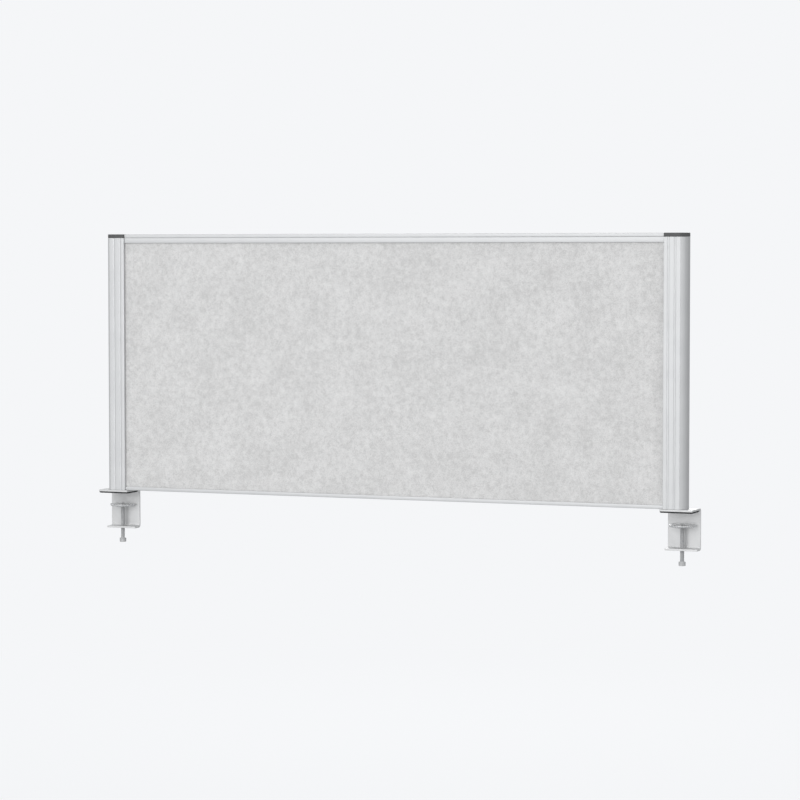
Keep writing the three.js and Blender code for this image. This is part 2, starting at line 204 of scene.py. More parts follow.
# %% [markdown]
# ## A finish as a function
# Each finish is a function that gets the tree, the point on the surface and the edge mask, and gives
# the sockets that change over the surface. What stays the same, such as a coat or a sheen, is set once
# on the shader's own sockets. The edge mask is 1 on the narrow strips that round an edge off. Where a
# finish lowers the roughness with it, that is edge wear; where it lightens the colour, that is a painted
# highlight along the edges.


# %% Make a material from a finish function
def make_finish(name, paint, **fixed):
    material = bpy.data.materials.new(name)
    material.use_nodes = True
    graph = Graph(material.node_tree)
    point = graph.node("ShaderNodeTexCoord").out("Object")
    # The edge mask: it lowers roughness as edge wear, and where it lightens a colour it paints a
    # highlight.
    edge_wear_and_highlight = graph.node("ShaderNodeAttribute", {"attribute_name": "edge_wear_and_highlight"}).out("Fac")
    surface = graph.node("ShaderNodeBsdfPrincipled", sockets={**fixed, **paint(graph, point, edge_wear_and_highlight)})
    graph.node("ShaderNodeOutputMaterial", sockets={"Surface": surface})
    print("finish", name, "with", len(material.node_tree.nodes), "nodes")
    return material


# %% [markdown]
# ## Anodised aluminium
# An extruded section carries faint lines from the die along its whole length. Etching and anodising
# leave it satin, slightly cloudy, and a touch brighter on the edges. The lines are noise stretched
# along the section, so an upright post and a level rail each get a direction of their own.


# %% Finish: anodised aluminium
def anodised(along):
    """`along` is the axis of the section, 0 for X or 2 for Z."""
    def stretch(across_grains, along_grains):
        scale = [across_grains] * 3
        scale[along] = along_grains
        return scale

    def paint(graph, point, edge_wear_and_highlight):
        broad = graph.noise(graph.stretched(point, stretch(260, 1.5)), 1, 3)
        fine = graph.noise(graph.stretched(point, stretch(2600, 9)), 1, 2)
        cloud = graph.noise(point, 30, 3, 0.6)
        tone = (broad * 0.5 + fine * 0.2 + cloud * 0.3).between(0.25, 0.75)
        lit_edge = edge_wear_and_highlight * cloud.between(0.35, 0.6)
        return {
            "Base Color": graph.blend(tone, grey(0.56, -0.012), grey(0.63, -0.008)),
            "Roughness": 0.48 + broad * 0.1 + fine * 0.06 - lit_edge * 0.05,
            "Normal": graph.bump(fine * 0.7 + broad * 0.3, 0.00002),
        }
    return paint


UPRIGHT_ALUMINIUM = make_finish("anodised_upright", anodised(2), Metallic=0.75)
LEVEL_ALUMINIUM = make_finish("anodised_level", anodised(0), Metallic=0.75)

# %% [markdown]
# ## Moulded plastic and rubber
# The caps come from a spark-eroded mould, which prints a fine dull grain on them. The pads are black
# rubber: rougher, slightly dusty, with a softer grain. Both are dark, so the eye reads them mostly by
# how the grain breaks up the highlight, and the bump matters more than the colour.


# %% Finish: moulded plastic and rubber
def moulded(graph, point, edge_wear_and_highlight):
    grain = graph.noise(point, 3200, 2, 0.6)
    flow = graph.noise(point, 45, 3)
    tone = (flow * 0.7 + grain * 0.3).between(0.3, 0.7)
    return {
        # The edge mask lightens the plastic's colour on rounded edges: a painted highlight.
        "Base Color": graph.blend(tone + edge_wear_and_highlight * 0.5, grey(0.055, -0.02), grey(0.085, -0.02)),
        "Roughness": 0.46 + grain * 0.14 - edge_wear_and_highlight * 0.08,
        "Normal": graph.bump(grain, 0.00005),
    }


def rubber(graph, point, edge_wear_and_highlight):
    grain = graph.noise(point, 1900, 3, 0.65)
    dust = graph.noise(point, 150, 4, 0.6).between(0.5, 0.8)
    return {
        # Dust is real dust; the edge mask lightens the rubber on rounded edges as a painted highlight.
        "Base Color": graph.blend(dust * 0.6 + edge_wear_and_highlight * 0.4, grey(0.022, -0.03), grey(0.06, 0.01)),
        "Roughness": 0.74 + dust * 0.14 + grain * 0.06,
        "Normal": graph.bump(grain, 0.00008),
    }


CAP_PLASTIC = make_finish("moulded_grey_plastic", moulded)
PAD_RUBBER = make_finish("black_pad_rubber", rubber)

# %% [markdown]
# ## Melange felt
# Pressed felt is a mat of short fibres in several greys. Three sizes of pattern tell the eye that it is
# felt: soft clouds a few centimetres wide, where the fibres were laid thicker, mottling about a
# centimetre wide from the mix of greys, and single hairs. The hairs are stretched noise in three
# directions, sharpened to thin lines. Darker hairs show in loose flecks only.


# %% Finish: melange felt
def felt(graph, point, edge_wear_and_highlight):
    cloud = graph.noise(point, 16, 3, 0.55)
    mottle = graph.noise(point, 105, 4, 0.62)
    speck = graph.noise(point, 420, 3, 0.6)

    def hairs(turn, seed_shift):
        moved = graph.node("ShaderNodeVectorMath", {"operation": "ADD"},
                           {0: point, 1: (seed_shift, seed_shift, seed_shift)})
        strand = graph.noise(graph.stretched(moved, (240, 1500, 1500), (0, turn, 0)), 1, 3, 0.6)
        return 1 - ((strand * 2 - 1).math("ABSOLUTE", strand * 2 - 1)).between(0.0, 0.16)

    nap = hairs(0.35, 0.0) * 0.4 + hairs(1.45, 3.1) * 0.35 + hairs(2.5, 7.7) * 0.35
    fleck = speck.between(0.56, 0.7) * mottle.between(0.46, 0.6)
    light = cloud * 0.16 + mottle * 0.4 + speck * 0.24 + nap * 0.2
    pale = graph.blend(light.between(0.34, 0.64), grey(0.55, 0.007), grey(0.79, 0.005))
    return {
        "Base Color": graph.blend(fleck * 0.45, pale, grey(0.42, -0.01)),
        "Roughness": 0.9 + nap * 0.08,
        "Normal": graph.bump(nap * 0.7 + speck * 0.5 + mottle * 0.3, 0.0005, 0.8),
    }


FELT = make_finish("melange_felt", felt, **{"Sheen Weight": 0.25, "Sheen Roughness": 0.6})


# %% [markdown]
# ## Pressed core board
# The board between the felts is a stiff mat of coarse pale fibre. Nobody sees it in use, but the model
# can be taken apart, so it gets an honest surface: coarse clumps with small holes between them.


# %% Finish: pressed core board
def pressed_board(graph, point, edge_wear_and_highlight):
    clump = graph.noise(point, 260, 4, 0.65)
    pore = graph.node("ShaderNodeTexVoronoi", sockets={"Vector": point, "Scale": 520})
    tone = (clump * 0.7 + pore * 0.5).between(0.3, 0.75)
    return {
        "Base Color": graph.blend(tone, grey(0.62, 0.03), grey(0.8, 0.03)),
        "Roughness": 0.88 + clump * 0.08,
        "Normal": graph.bump(clump + pore * 0.6, 0.0006),
    }


CORE_BOARD = make_finish("pressed_core_board", pressed_board)

# %% [markdown]
# ## Coated and plated steel
# The brackets have a light grey powder coat. It flows as it bakes and sets with a faint orange peel.
# Screws, bushes and corner brackets are dull zinc plate with a cloudy bluish bloom, and the pressure
# plates are bright zinc plate, which mirrors what is near it. The snap rings are oiled spring steel,
# dark and lightly brushed.


# %% Finish: powder coat, zinc plate and spring steel
def powder_coat(graph, point, edge_wear_and_highlight):
    peel = graph.noise(point, 900, 2, 0.4)
    sparkle = graph.noise(point, 5200, 1)
    cloud = graph.noise(point, 40, 3)
    tone = (cloud * 0.6 + sparkle * 0.4).between(0.3, 0.7)
    return {
        # The edge mask lightens the coat on rounded edges as a painted highlight.
        "Base Color": graph.blend(tone + edge_wear_and_highlight * 0.3, grey(0.58, -0.006), grey(0.65, -0.004)),
        "Roughness": 0.40 + sparkle * 0.1 + cloud * 0.05,
        "Normal": graph.bump(peel, 0.00006),
    }


def zinc_plate(darkest, brightest, roughness):
    def paint(graph, point, edge_wear_and_highlight):
        bloom = graph.noise(point, 300, 4, 0.6)
        grain = graph.noise(point, 4200, 2)
        tone = (bloom * 0.8 + grain * 0.2).between(0.3, 0.7)
        return {
            # The edge mask lightens the plate on rounded edges as a painted highlight; it also lowers the
            # roughness there, as wear does.
            "Base Color": graph.blend(tone + edge_wear_and_highlight * 0.15, grey(darkest, -0.02), grey(brightest, 0.0)),
            "Roughness": roughness + bloom * 0.14 + grain * 0.05 - edge_wear_and_highlight * 0.06,
            "Normal": graph.bump(grain * 0.6 + bloom * 0.4, 0.00003),
        }
    return paint


def oiled_spring(graph, point, edge_wear_and_highlight):
    brush = graph.noise(graph.stretched(point, (700, 700, 6000)), 1, 2)
    stain = graph.noise(point, 500, 3)
    return {
        "Base Color": graph.blend(stain, grey(0.12, -0.03), grey(0.22, 0.02)),
        "Roughness": 0.34 + brush * 0.16,
        "Normal": graph.bump(brush, 0.00002),
    }


CLAMP_COAT = make_finish("light_grey_powder_coat", powder_coat, Metallic=0.35)
ZINC = make_finish("zinc_plated_steel", zinc_plate(0.43, 0.53, 0.5), Metallic=0.5)
BRIGHT_ZINC = make_finish("bright_zinc_plate", zinc_plate(0.70, 0.78, 0.17), Metallic=0.88)
SPRING_STEEL = make_finish("oiled_spring_steel", oiled_spring, Metallic=0.9)

# %% [markdown]
# ## Outlines with soft corners
# No real edge is sharp. A rounded edge is a strip of narrow faces that catches a line of light, and
# that line is what makes a solid look made. So an outline's corner can carry a radius as a third
# number, and a helper swaps it for a short arc. A second helper moves a whole outline inwards, which
# gives the end of a section its small chamfer.


# %% Helpers for outlines
def arc(centre, radius, start, end, steps):
    """Points on an arc, with both ends. The angles are in degrees."""
    points = []
    for i in range(steps + 1):
        angle = math.radians(start + (end - start) * i / steps)
        points.append((centre[0] + radius * math.cos(angle), centre[1] + radius * math.sin(angle)))
    return points


def soften(outline, steps=3):
    """Swaps each corner that carries a radius, as its third number, for an arc."""
    made = []
    for i, corner in enumerate(outline):
        if len(corner) < 3:
            made.append(corner)
            continue
        here = Vector(corner[:2])
        back = (Vector(outline[i - 1][:2]) - here).normalized()
        ahead = (Vector(outline[(i + 1) % len(outline)][:2]) - here).normalized()
        half = back.angle(ahead) / 2
        reach = corner[2] / math.tan(half)
        centre = here + (back + ahead).normalized() * corner[2] / math.sin(half)
        first = here + back * reach - centre
        sweep = first.angle_signed(here + ahead * reach - centre)
        for step in range(steps + 1):
            spoke = first.copy()
            spoke.rotate(Matrix.Rotation(-sweep * step / steps, 2))
            made.append(tuple(centre + spoke))
    return made


def inset(outline, distance):
    """Moves an outline to its left, which is inwards where it runs anticlockwise."""
    if not distance:
        return outline
    made = []
    for i, corner in enumerate(outline):
        here = Vector(corner)
        before = (here - Vector(outline[i - 1])).normalized()
        after = (Vector(outline[(i + 1) % len(outline)]) - here).normalized()
        left_before = Vector((-before.y, before.x))
        left_after = Vector((-after.y, after.x))
        share = distance / max(0.3, 1 + left_before.dot(left_after))
        made.append(tuple(here + (left_before + left_after) * share))
    return made


def rounded_edge(height_from, height_to, radius, steps=3):
    """Levels for a prism whose two ends are rounded off: pairs of a height and an inset."""
    sign = 1 if height_to > height_from else -1
    climb = [math.radians(90 * i / steps) for i in range(steps + 1)]
    bends = [(radius * (1 - math.cos(a)), radius * (1 - math.sin(a))) for a in climb]
    first = [(height_from + sign * rise, shrink) for rise, shrink in bends]
    last = [(height_to - sign * rise, shrink) for rise, shrink in bends]
    return first + last[::-1]


# %% [markdown]
# ## From outlines to closed meshes
# Three ways of making cover nearly every piece here. A prism pushes an outline, with any holes, from
# one end to the other. A turned piece spins rows of radius and height round its axis, and a row may be
# a hexagon, which is how a socket gets its flats. A bent sheet walks along a centre line and carries a
# rounded strip with it. Each one closes its own ends, so every mesh is a solid that could be printed.


# %% Helpers for prisms and turned pieces
def skin_between(mesh, rows, closed=False):
    """Fills the faces between rows of vertices that have the same count."""
    pairs = list(zip(rows, rows[1:]))
    if closed:
        pairs.append((rows[-1], rows[0]))
    for low, high in pairs:
        for i in range(len(low)):
            mesh.faces.new((low[i - 1], low[i], high[i], high[i - 1]))


def prism(loops, levels, place):
    """A solid over an outline and its holes. `place` takes a drawn point and a height to the scene."""
    mesh = bmesh.new()
    ends = {0: [], -1: []}
    for loop in loops:
        rows = []
        for height, shrink in levels:
            rows.append([mesh.verts.new(place(u, v, height)) for u, v in inset(loop, shrink)])
        skin_between(mesh, rows)
        for end in ends:
            ends[end].extend(rows[end])
    for end, vertices in ends.items():
        shrink = levels[end][1]
        flat = [[Vector((u, v, 0)) for u, v in inset(loop, shrink)] for loop in loops]
        for triangle in tessellate_polygon(flat):
            mesh.faces.new([vertices[i] for i in triangle])
    return mesh


def spoke_length(radius, angle, sides):
    """How far out a row lies at an angle, for a circle or for a polygon that holds the circle."""
    if not sides:
        return radius
    step = 2 * math.pi / sides
    return radius / math.cos((angle + step / 2) % step - step / 2)


def turned(profile, around=48, closed=False):
    """Spins rows of (radius, height) or (radius, height, sides) round the Z axis."""
    mesh = bmesh.new()
    rows = []
    for radius, height, *sides in profile:
        row = []
        for i in range(around):
            angle = 2 * math.pi * i / around
            out = spoke_length(radius, angle, sides[0] if sides else 0)
            spot = Vector((out * math.cos(angle), out * math.sin(angle), height))
            row.append(mesh.verts.new(spot * MM))
        rows.append(row)
    skin_between(mesh, rows, closed)
    bmesh.ops.remove_doubles(mesh, verts=mesh.verts, dist=1e-7)
    return mesh


# %% A bent sheet, as a walk along its centre line
def walk(start, heading, moves, step=2.0):
    """Stations along straight runs and bends: (distance, point, heading in degrees)."""
    point = Vector(start)
    distance = 0.0
    stations = [(distance, point.copy(), heading)]
    for length, bend in moves:
        steps = max(1, round(abs(bend) / 10)) if bend else max(1, round(length / step))
        for _ in range(steps):
            middle = math.radians(heading + bend / steps / 2)
            chord = length / steps
            if bend:
                half_turn = math.radians(abs(bend) / steps / 2)
                chord *= math.sin(half_turn) / half_turn
            point = point + Vector((math.cos(middle), math.sin(middle))) * chord
            heading += bend / steps
            distance += length / steps
            stations.append((distance, point.copy(), heading))
    return stations


def bent_sheet(stations, width, thickness, corner, edge, place):
    """A strip of sheet with rounded corners in plan and softened edges all round."""
    total = stations[-1][0]
    spots = sorted({round(edge * s, 4) for s in (0, 0.15, 0.5, 1)}
                   | {round(corner * (1 - math.cos(math.radians(a))), 4) for a in range(15, 91, 15)})
    between = [station[0] for station in stations if corner < station[0] < total - corner]
    cuts = spots + between + [total - spot for spot in spots[::-1]]
    mesh = bmesh.new()
    rows = []
    for cut in cuts:
        after = next(i for i, s in enumerate(stations) if s[0] >= cut - 1e-9 and i > 0)
        (d0, p0, h0), (d1, p1, h1) = stations[after - 1], stations[after]
        share = (cut - d0) / (d1 - d0)
        point = p0.lerp(p1, share)
        heading = math.radians(h0 + (h1 - h0) * share)
        near = min(cut, total - cut)
        narrow = corner - math.sqrt(max(0, corner ** 2 - max(0, corner - near) ** 2))
        shrink = edge - math.sqrt(max(0, edge ** 2 - max(0, edge - near) ** 2))
        half_w = width / 2 - narrow
        half_t = thickness / 2 - shrink
        soft = max(0.05, min(edge, half_t * 0.9))
        ring = soften([(-half_w, -half_t, soft), (half_w, -half_t, soft),
                       (half_w, half_t, soft), (-half_w, half_t, soft)])
        normal = Vector((-math.sin(heading), math.cos(heading)))
        rows.append([mesh.verts.new(place(w, *(point + normal * n))) for w, n in ring])
    skin_between(mesh, rows)
    mesh.faces.new(rows[0])
    mesh.faces.new(rows[-1])
    return mesh


# %% [markdown]
# ## Finishing a piece
# Every piece goes through the same last steps. Its normals are made to point outwards, faces that
# round an edge are marked in the edge mask, which gives edge wear and a painted edge highlight, and sharp
# edges stay sharp in the shading. Then the piece is handed to the body it moves with, stands in for its
# imported solid, and gets its finish.

# %% Helpers that finish and hand over a piece
SOFT_STRIP = 1.2 * MM
pieces_made = []


def mark_edge_wear_and_highlight(mesh):
    """Marks narrow faces that bend convexly into their neighbours. Those get rubbed first, and several
    finishes also lighten their colour there as a painted highlight.
    """
    layer = mesh.faces.layers.float.new("edge_wear_and_highlight")
    for face in mesh.faces:
        bends = [e.calc_face_angle_signed(0.0) for e in face.edges if len(e.link_faces) == 2]
        narrow = min(e.calc_length() for e in face.edges) < SOFT_STRIP
        if narrow and max(bends, default=0) > math.radians(12):
            face[layer] = 1.0


def to_mesh(name, solid, edge_wear_and_highlight=True):
    """Closes the bmesh: merges doubles, points the faces outwards and stores it as a mesh."""
    bmesh.ops.remove_doubles(solid, verts=solid.verts, dist=1e-7)
    bmesh.ops.recalc_face_normals(solid, faces=solid.faces)
    if edge_wear_and_highlight:
        mark_edge_wear_and_highlight(solid)
    mesh = bpy.data.meshes.new(name)
    solid.to_mesh(mesh)
    solid.free()
    return mesh


def evaluated(mesh, add_modifiers):
    """The mesh as its modifiers leave it. The object that carried them is removed again."""
    carrier = bpy.data.objects.new("carrier", mesh)
    bpy.context.scene.collection.objects.link(carrier)
    helpers = add_modifiers(carrier) or []
    bpy.context.view_layer.update()
    graph = bpy.context.evaluated_depsgraph_get()
    made = bpy.data.meshes.new_from_object(carrier.evaluated_get(graph))
    for item in [carrier, *helpers]:
        bpy.data.objects.remove(item)
    return made


def combined(mesh, solids, operation):
    """Cuts solids out of a mesh with DIFFERENCE, or welds them on with UNION."""
    def add(carrier):
        tools = []
        for solid in solids:
            tool = bpy.data.objects.new("tool", to_mesh("tool", solid, edge_wear_and_highlight=False))
            bpy.context.scene.collection.objects.link(tool)
            modifier = carrier.modifiers.new("combine", "BOOLEAN")
            modifier.operation = operation
            modifier.solver = "EXACT"
            modifier.object = tool
            tools.append(tool)
        return tools
    return evaluated(mesh, add)


def drilled(mesh, cutters):
    """Cuts solids out of a mesh, as a drill or a punch would."""
    return combined(mesh, cutters, "DIFFERENCE")


def hand_over(name, mesh, material, body, node, smooth_angle=32):
    """Makes the object, hangs it on the body it moves with and hides the imported solid it stands in for.
    """
    mesh.name = name
    mesh.materials.clear()
    mesh.materials.append(material)
    mesh.shade_smooth()
    mesh.set_sharp_from_angle(angle=math.radians(smooth_angle))
    piece = bpy.data.objects.new(name, mesh)
    bpy.context.scene.collection.objects.link(piece)
    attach(piece, body)
    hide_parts(node)
    pieces_made.append(piece)
    print(f"{name}: {len(mesh.polygons)} faces, moves with {body}")
    return piece


def moved(solid, matrix):
    """Takes a bmesh to its place, which stays in its vertices."""
    bmesh.ops.transform(solid, matrix=matrix, verts=solid.verts)
    return solid


def at(x, y, z):
    """A move to a place in millimetres."""
    return Matrix.Translation(Vector((x, y, z)) * MM)


def upright(u, v, height):
    """Takes a drawn point to the scene where the drawing lies level and heights are true heights."""
    return Vector((u, v, height)) * MM


def middle_of(node):
    low, high = drawn(node)
    return (low + high) / 2


# %% [markdown]
# ## The end posts
# A post is one aluminium section, sawn to length. Its flat faces carry two shallow grooves each, its
# outer side bulges, a channel takes the edge of the panel, and two round ports take the screws from
# the bracket. All of it follows from one outline with three holes, so a prism is the honest way. The
# saw leaves a small chamfer at both ends.

# %% Draw the post's section
POST_HALF = POST_HIGH.y
POST_FACE = 32.0
POST_BULGE = POST_HIGH.x - POST_LOW.x - POST_FACE
END_RADIUS = (POST_HALF ** 2 + POST_BULGE ** 2) / (2 * POST_BULGE)
END_CENTRE = (POST_FACE + POST_BULGE - END_RADIUS, 0)
POST_WALL = 2.5
FLUTES = (9.0, 22.0)
FLUTE_HALF = 2.3
FLUTE_DEPTH = 0.8
FLUTE_RADIUS = (FLUTE_HALF ** 2 + FLUTE_DEPTH ** 2) / (2 * FLUTE_DEPTH)
CHANNEL_DEPTH = 8.0
CHANNEL_HALF = 16.4
PORT = (21.0, 14.0)
PORT_RADIUS = 2.7
BOSS_RADIUS = 5.6
SAW_CHAMFER = 0.3


def round_end(radius, half_width, steps):
    """The bulging side, from the front corner round to the back corner."""
    half = math.degrees(math.asin(half_width / radius))
    return arc(END_CENTRE, radius, -half, half, steps)


def flute(place, side):
    """One shallow round groove in a flat face, drawn the way the outline runs there."""
    half = math.degrees(math.asin(FLUTE_HALF / FLUTE_RADIUS))
    centre = (place, side * (POST_HALF - FLUTE_DEPTH + FLUTE_RADIUS))
    points = arc(centre, FLUTE_RADIUS, -side * 90 + half, -side * 90 - half, 12)
    return [(*points[0], 0.25), *points[2:-2], (*points[-1], 0.25)]


def post_outline():
    bulge = round_end(END_RADIUS, POST_HALF, 28)
    front_corner = (*bulge[0], 0.7)
    back_corner = (*bulge[-1], 0.7)
    return soften([
        (0, -POST_HALF, 0.6), *flute(FLUTES[0], -1), *flute(FLUTES[1], -1),
        front_corner, *bulge[1:-1], back_corner,
        *flute(FLUTES[1], 1), *flute(FLUTES[0], 1), (0, POST_HALF, 0.6),
        (0, CHANNEL_HALF, 0.4), (CHANNEL_DEPTH, CHANNEL_HALF, 0.5),
        (CHANNEL_DEPTH, -CHANNEL_HALF, 0.5), (0, -CHANNEL_HALF, 0.4),
    ])


def boss_arc(side, reach):
    """The boss round a screw port, as it bulges into the chamber."""
    wall = POST_HALF - POST_WALL - PORT[1]
    start = math.degrees(math.acos(wall / reach))
    angles = (-90 - start, -450 + start) if side < 0 else (90 - start, -270 + start)
    return arc((PORT[0], side * PORT[1]), reach, *angles, 16)


def chamber_outline():
    side = POST_HALF - POST_WALL
    floor = CHANNEL_DEPTH + POST_WALL
    bulge = round_end(END_RADIUS - POST_WALL, side, 24)
    around = [(floor, -side, 0.5), *boss_arc(-1, BOSS_RADIUS), *bulge,
              *boss_arc(1, BOSS_RADIUS), (floor, side, 0.5)]
    return soften(around)[::-1]


def port_outline(side):
    return arc((PORT[0], side * PORT[1]), PORT_RADIUS, 360, 15, 23)


# %% Make both posts
def at_post(side):
    """Takes a point of the post's section to the scene. The left post is the right one turned round."""
    return lambda u, v, height: Vector((side * (POST_LOW.x + u), side * v, height)) * MM


for name, side in SIDES:
    loops = [post_outline(), chamber_outline(), port_outline(-1), port_outline(1)]
    levels = [(POST_LOW.z, SAW_CHAMFER), (POST_LOW.z + SAW_CHAMFER, 0),
              (POST_HIGH.z - SAW_CHAMFER, 0), (POST_HIGH.z, SAW_CHAMFER)]
    mesh = to_mesh("post", prism(loops, levels, at_post(side)))
    hand_over(f"{name}_post_section", mesh, UPRIGHT_ALUMINIUM, "frame", f"{name}_post")

# %% [markdown]
# ## The post caps
# Each cap is a moulded plate that covers the sawn end, with a hollow plug that grips inside the post.
# Moulds need soft edges, so the top edge is rounded all the way round and the foot only broken. The
# plug is a second prism with a hole, sunk a little into the plate.

# %% Make both caps
CAP_ROUND = 1.1
CAP_FOOT_BREAK = 0.25
PLUG_GAP = 0.4
PLUG_WALL = 2.0
PLUG_SINK = 0.5
CAP_JOINT = 0.03 * (CAP_HIGH.z - POST_HIGH.z)


def cap_outline():
    bulge = round_end(END_RADIUS, POST_HALF, 36)
    corners = [(0, -POST_HALF, 1.2), (*bulge[0], 1.5), *bulge[1:-1],
               (*bulge[-1], 1.5), (0, POST_HALF, 1.2)]
    return soften(corners, 5)


def plug_outline(gap):
    side = POST_HALF - POST_WALL - gap
    floor = CHANNEL_DEPTH + POST_WALL + gap
    bulge = round_end(END_RADIUS - POST_WALL - gap, side, 24)
    wide = BOSS_RADIUS + gap
    near, far, deep = PORT[0] - wide, PORT[0] + wide, PORT[1] - wide
    front = [(floor, -side, 0.6), (near, -side, 0.6), (near, -deep, 0.8),
             (far, -deep, 0.8), (far, -side, 0.6)]
    back = [(u, -v, radius) for u, v, radius in front[::-1]]
    return soften([*front, *bulge, *back])


for name, side in SIDES:
    plate_foot = POST_HIGH.z + CAP_JOINT
    foot = [(plate_foot, CAP_FOOT_BREAK), (plate_foot + CAP_FOOT_BREAK, 0)]
    both_ends = rounded_edge(plate_foot, CAP_HIGH.z, CAP_ROUND, 5)
    top = [level for level in both_ends if level[0] > plate_foot + 2 * CAP_ROUND]
    cap = prism([cap_outline()], foot + top, at_post(side))
    outer = plug_outline(PLUG_GAP)
    inner = inset(outer, PLUG_WALL)[::-1]
    plug = prism([outer, inner], [(CAP_LOW.z, 0), (plate_foot + PLUG_SINK, 0)], at_post(side))
    plug_mesh = to_mesh("plug", plug)
    cap.from_mesh(plug_mesh)
    mesh = to_mesh("cap", cap)
    hand_over(f"{name}_post_cap_moulding", mesh, CAP_PLASTIC, "frame", f"{name}_post_cap")

# %% [markdown]
# ## Rails and cover strip
# The rails are aluminium channels that hold the panel's edges. The cover strip is a section of its
# own: two legs inside it clip over two ribs on the top rail, and it hides the screws there. Strip and
# rail meet in a fine line. Their rounded edges make a small V groove at that line, which is why it
# reads as dark. The rails are drilled for the corner screws before the strip goes on.

# %% Draw the rail sections
RAIL_LOW, RAIL_HIGH = drawn("top_rail")
STRIP_LOW, STRIP_HIGH = drawn("top_cover_strip")
FOOT_LOW, FOOT_HIGH = drawn("bottom_rail")
RAIL_WEB = 2.8
RAIL_WALL = 3.1
STRIP_WALL = 2.2
RIB = (11.25, 12.75)
LEG = (12.95, 14.45)
LEG_FOOT = STRIP_LOW.z + 0.6
JOINT_ROUND = 0.5
EDGE_ROUND = 0.35


def mirrored(half):
    """An outline from its right half, drawn anticlockwise from the foot to the top."""
    return half + [(-corner[0], *corner[1:]) for corner in half[::-1]]


def top_rail_outline():
    half, top, foot = RAIL_HIGH.y, POST_HIGH.z, RAIL_LOW.z
    return mirrored([
        (half - RAIL_WALL, top - RAIL_WEB, 0.5), (half - RAIL_WALL, foot, 0.4),
        (half, foot, EDGE_ROUND), (half, top, JOINT_ROUND),
        (RIB[1], top, 0.3), (RIB[1], RAIL_HIGH.z, 0.4),
        (RIB[0], RAIL_HIGH.z, 0.4), (RIB[0], top, 0.3),
    ])


def cover_strip_outline():
    half, top, foot = STRIP_HIGH.y, STRIP_HIGH.z, STRIP_LOW.z
    ceiling = top - STRIP_WALL
    return mirrored([
        (LEG[0], ceiling, 0.3), (LEG[0], LEG_FOOT, 0.3),
        (LEG[1], LEG_FOOT, 0.3), (LEG[1], ceiling, 0.3),
        (half - STRIP_WALL, ceiling, 0.3), (half - STRIP_WALL, foot, 0.4),
        (half, foot, JOINT_ROUND), (half, top, 0.8),
    ])


def bottom_rail_outline():
    half, top, foot = FOOT_HIGH.y, FOOT_HIGH.z, FOOT_LOW.z
    return mirrored([
        (half, foot, 0.8), (half, top, EDGE_ROUND), (half - RAIL_WALL, top, 0.4),
        (half - RAIL_WALL, foot + RAIL_WEB, 0.5),
    ])


# %% Make the rails and the strip
RAIL_CHAMFER = 0.2
SHANK_HOLE = 2.8
HEAD_HOLE = 5.0


def along_x(u, v, height):
    return Vector((height, u, v)) * MM


def run(outline, low, high):
    """A section from one end of its box to the other, with a small saw chamfer at both ends."""
    levels = [(low.x, RAIL_CHAMFER), (low.x + RAIL_CHAMFER, 0),
              (high.x - RAIL_CHAMFER, 0), (high.x, RAIL_CHAMFER)]
    return to_mesh("section", prism([soften(outline)], levels, along_x))


def countersink(depth):
    """The hole for a flat-headed screw that points up."""
    return turned([(0, -1), (HEAD_HOLE, -1), (HEAD_HOLE, 0.4), (SHANK_HOLE, 2.7),
                   (SHANK_HOLE, depth), (0, depth)], 32)


top_holes = []
foot_holes = []
for name, side in SIDES:
    x = middle_of(f"{name}_top_corner_rail_screw").x
    through = turned([(0, -5), (SHANK_HOLE, -5), (SHANK_HOLE, 3), (0, 3)], 32)
    top_holes.append(moved(through, at(x, 0, POST_HIGH.z)))
    foot_holes.append(moved(countersink(RAIL_WEB + 1), at(x, 0, FOOT_LOW.z)))

top_rail = drilled(run(top_rail_outline(), RAIL_LOW, RAIL_HIGH), top_holes)
hand_over("top_rail_section", top_rail, LEVEL_ALUMINIUM, "frame", "top_rail")
strip = run(cover_strip_outline(), STRIP_LOW, STRIP_HIGH)
hand_over("cover_strip_section", strip, LEVEL_ALUMINIUM, "frame", "top_cover_strip")
foot_rail = drilled(run(bottom_rail_outline(), FOOT_LOW, FOOT_HIGH), foot_holes)
hand_over("bottom_rail_section", foot_rail, LEVEL_ALUMINIUM, "frame", "bottom_rail")

# %% [markdown]
# ## The felts
# Each felt is a sheet cut to size and stretched over the board. It stays flat in the large, but cloth
# is never a perfect plane: it lies in slow waves of a few tenths of a millimetre, and it is pressed
# down where the frame grips it. The grid is fine near the frame, where it bends, and coarser between.

# %% Make both felts
FELT_STEP = 8.0
GRIP_LINES = (0, 2, 4, 6, 7.4, 8.6, 10, 11.5, 13, 15, 18, 22)
GRIP_SINK = 0.2
GRIP_REACH = 5.0
WAVE_HEIGHT = 0.3
WAVE_LENGTH = 90.0
OPENING_LOW = Vector((-POST_LOW.x, 0, FOOT_HIGH.z))
OPENING_HIGH = Vector((POST_LOW.x, 0, RAIL_LOW.z))


def graded(low, high):
    """Grid lines from low to high: close together at both ends and evenly spaced between."""
    inner_low, inner_high = low + GRIP_LINES[-1], high - GRIP_LINES[-1]
    count = round((inner_high - inner_low) / FELT_STEP)
    even = [inner_low + (inner_high - inner_low) * i / count for i in range(1, count)]
    return [low + g for g in GRIP_LINES] + even + [high - g for g in GRIP_LINES[::-1]]


def felt_sink(x, z):
    """How far the felt's face lies behind its highest point."""
    inside = min(x - OPENING_LOW.x, OPENING_HIGH.x - x, z - OPENING_LOW.z, OPENING_HIGH.z - z)
    free = max(0.0, min(1.0, (inside + 1) / GRIP_REACH))
    wave = noise.noise(Vector((x, 0, z)) / WAVE_LENGTH) * 0.5 + 0.5
    return GRIP_SINK * (1 - free) ** 2 + WAVE_HEIGHT * wave * free


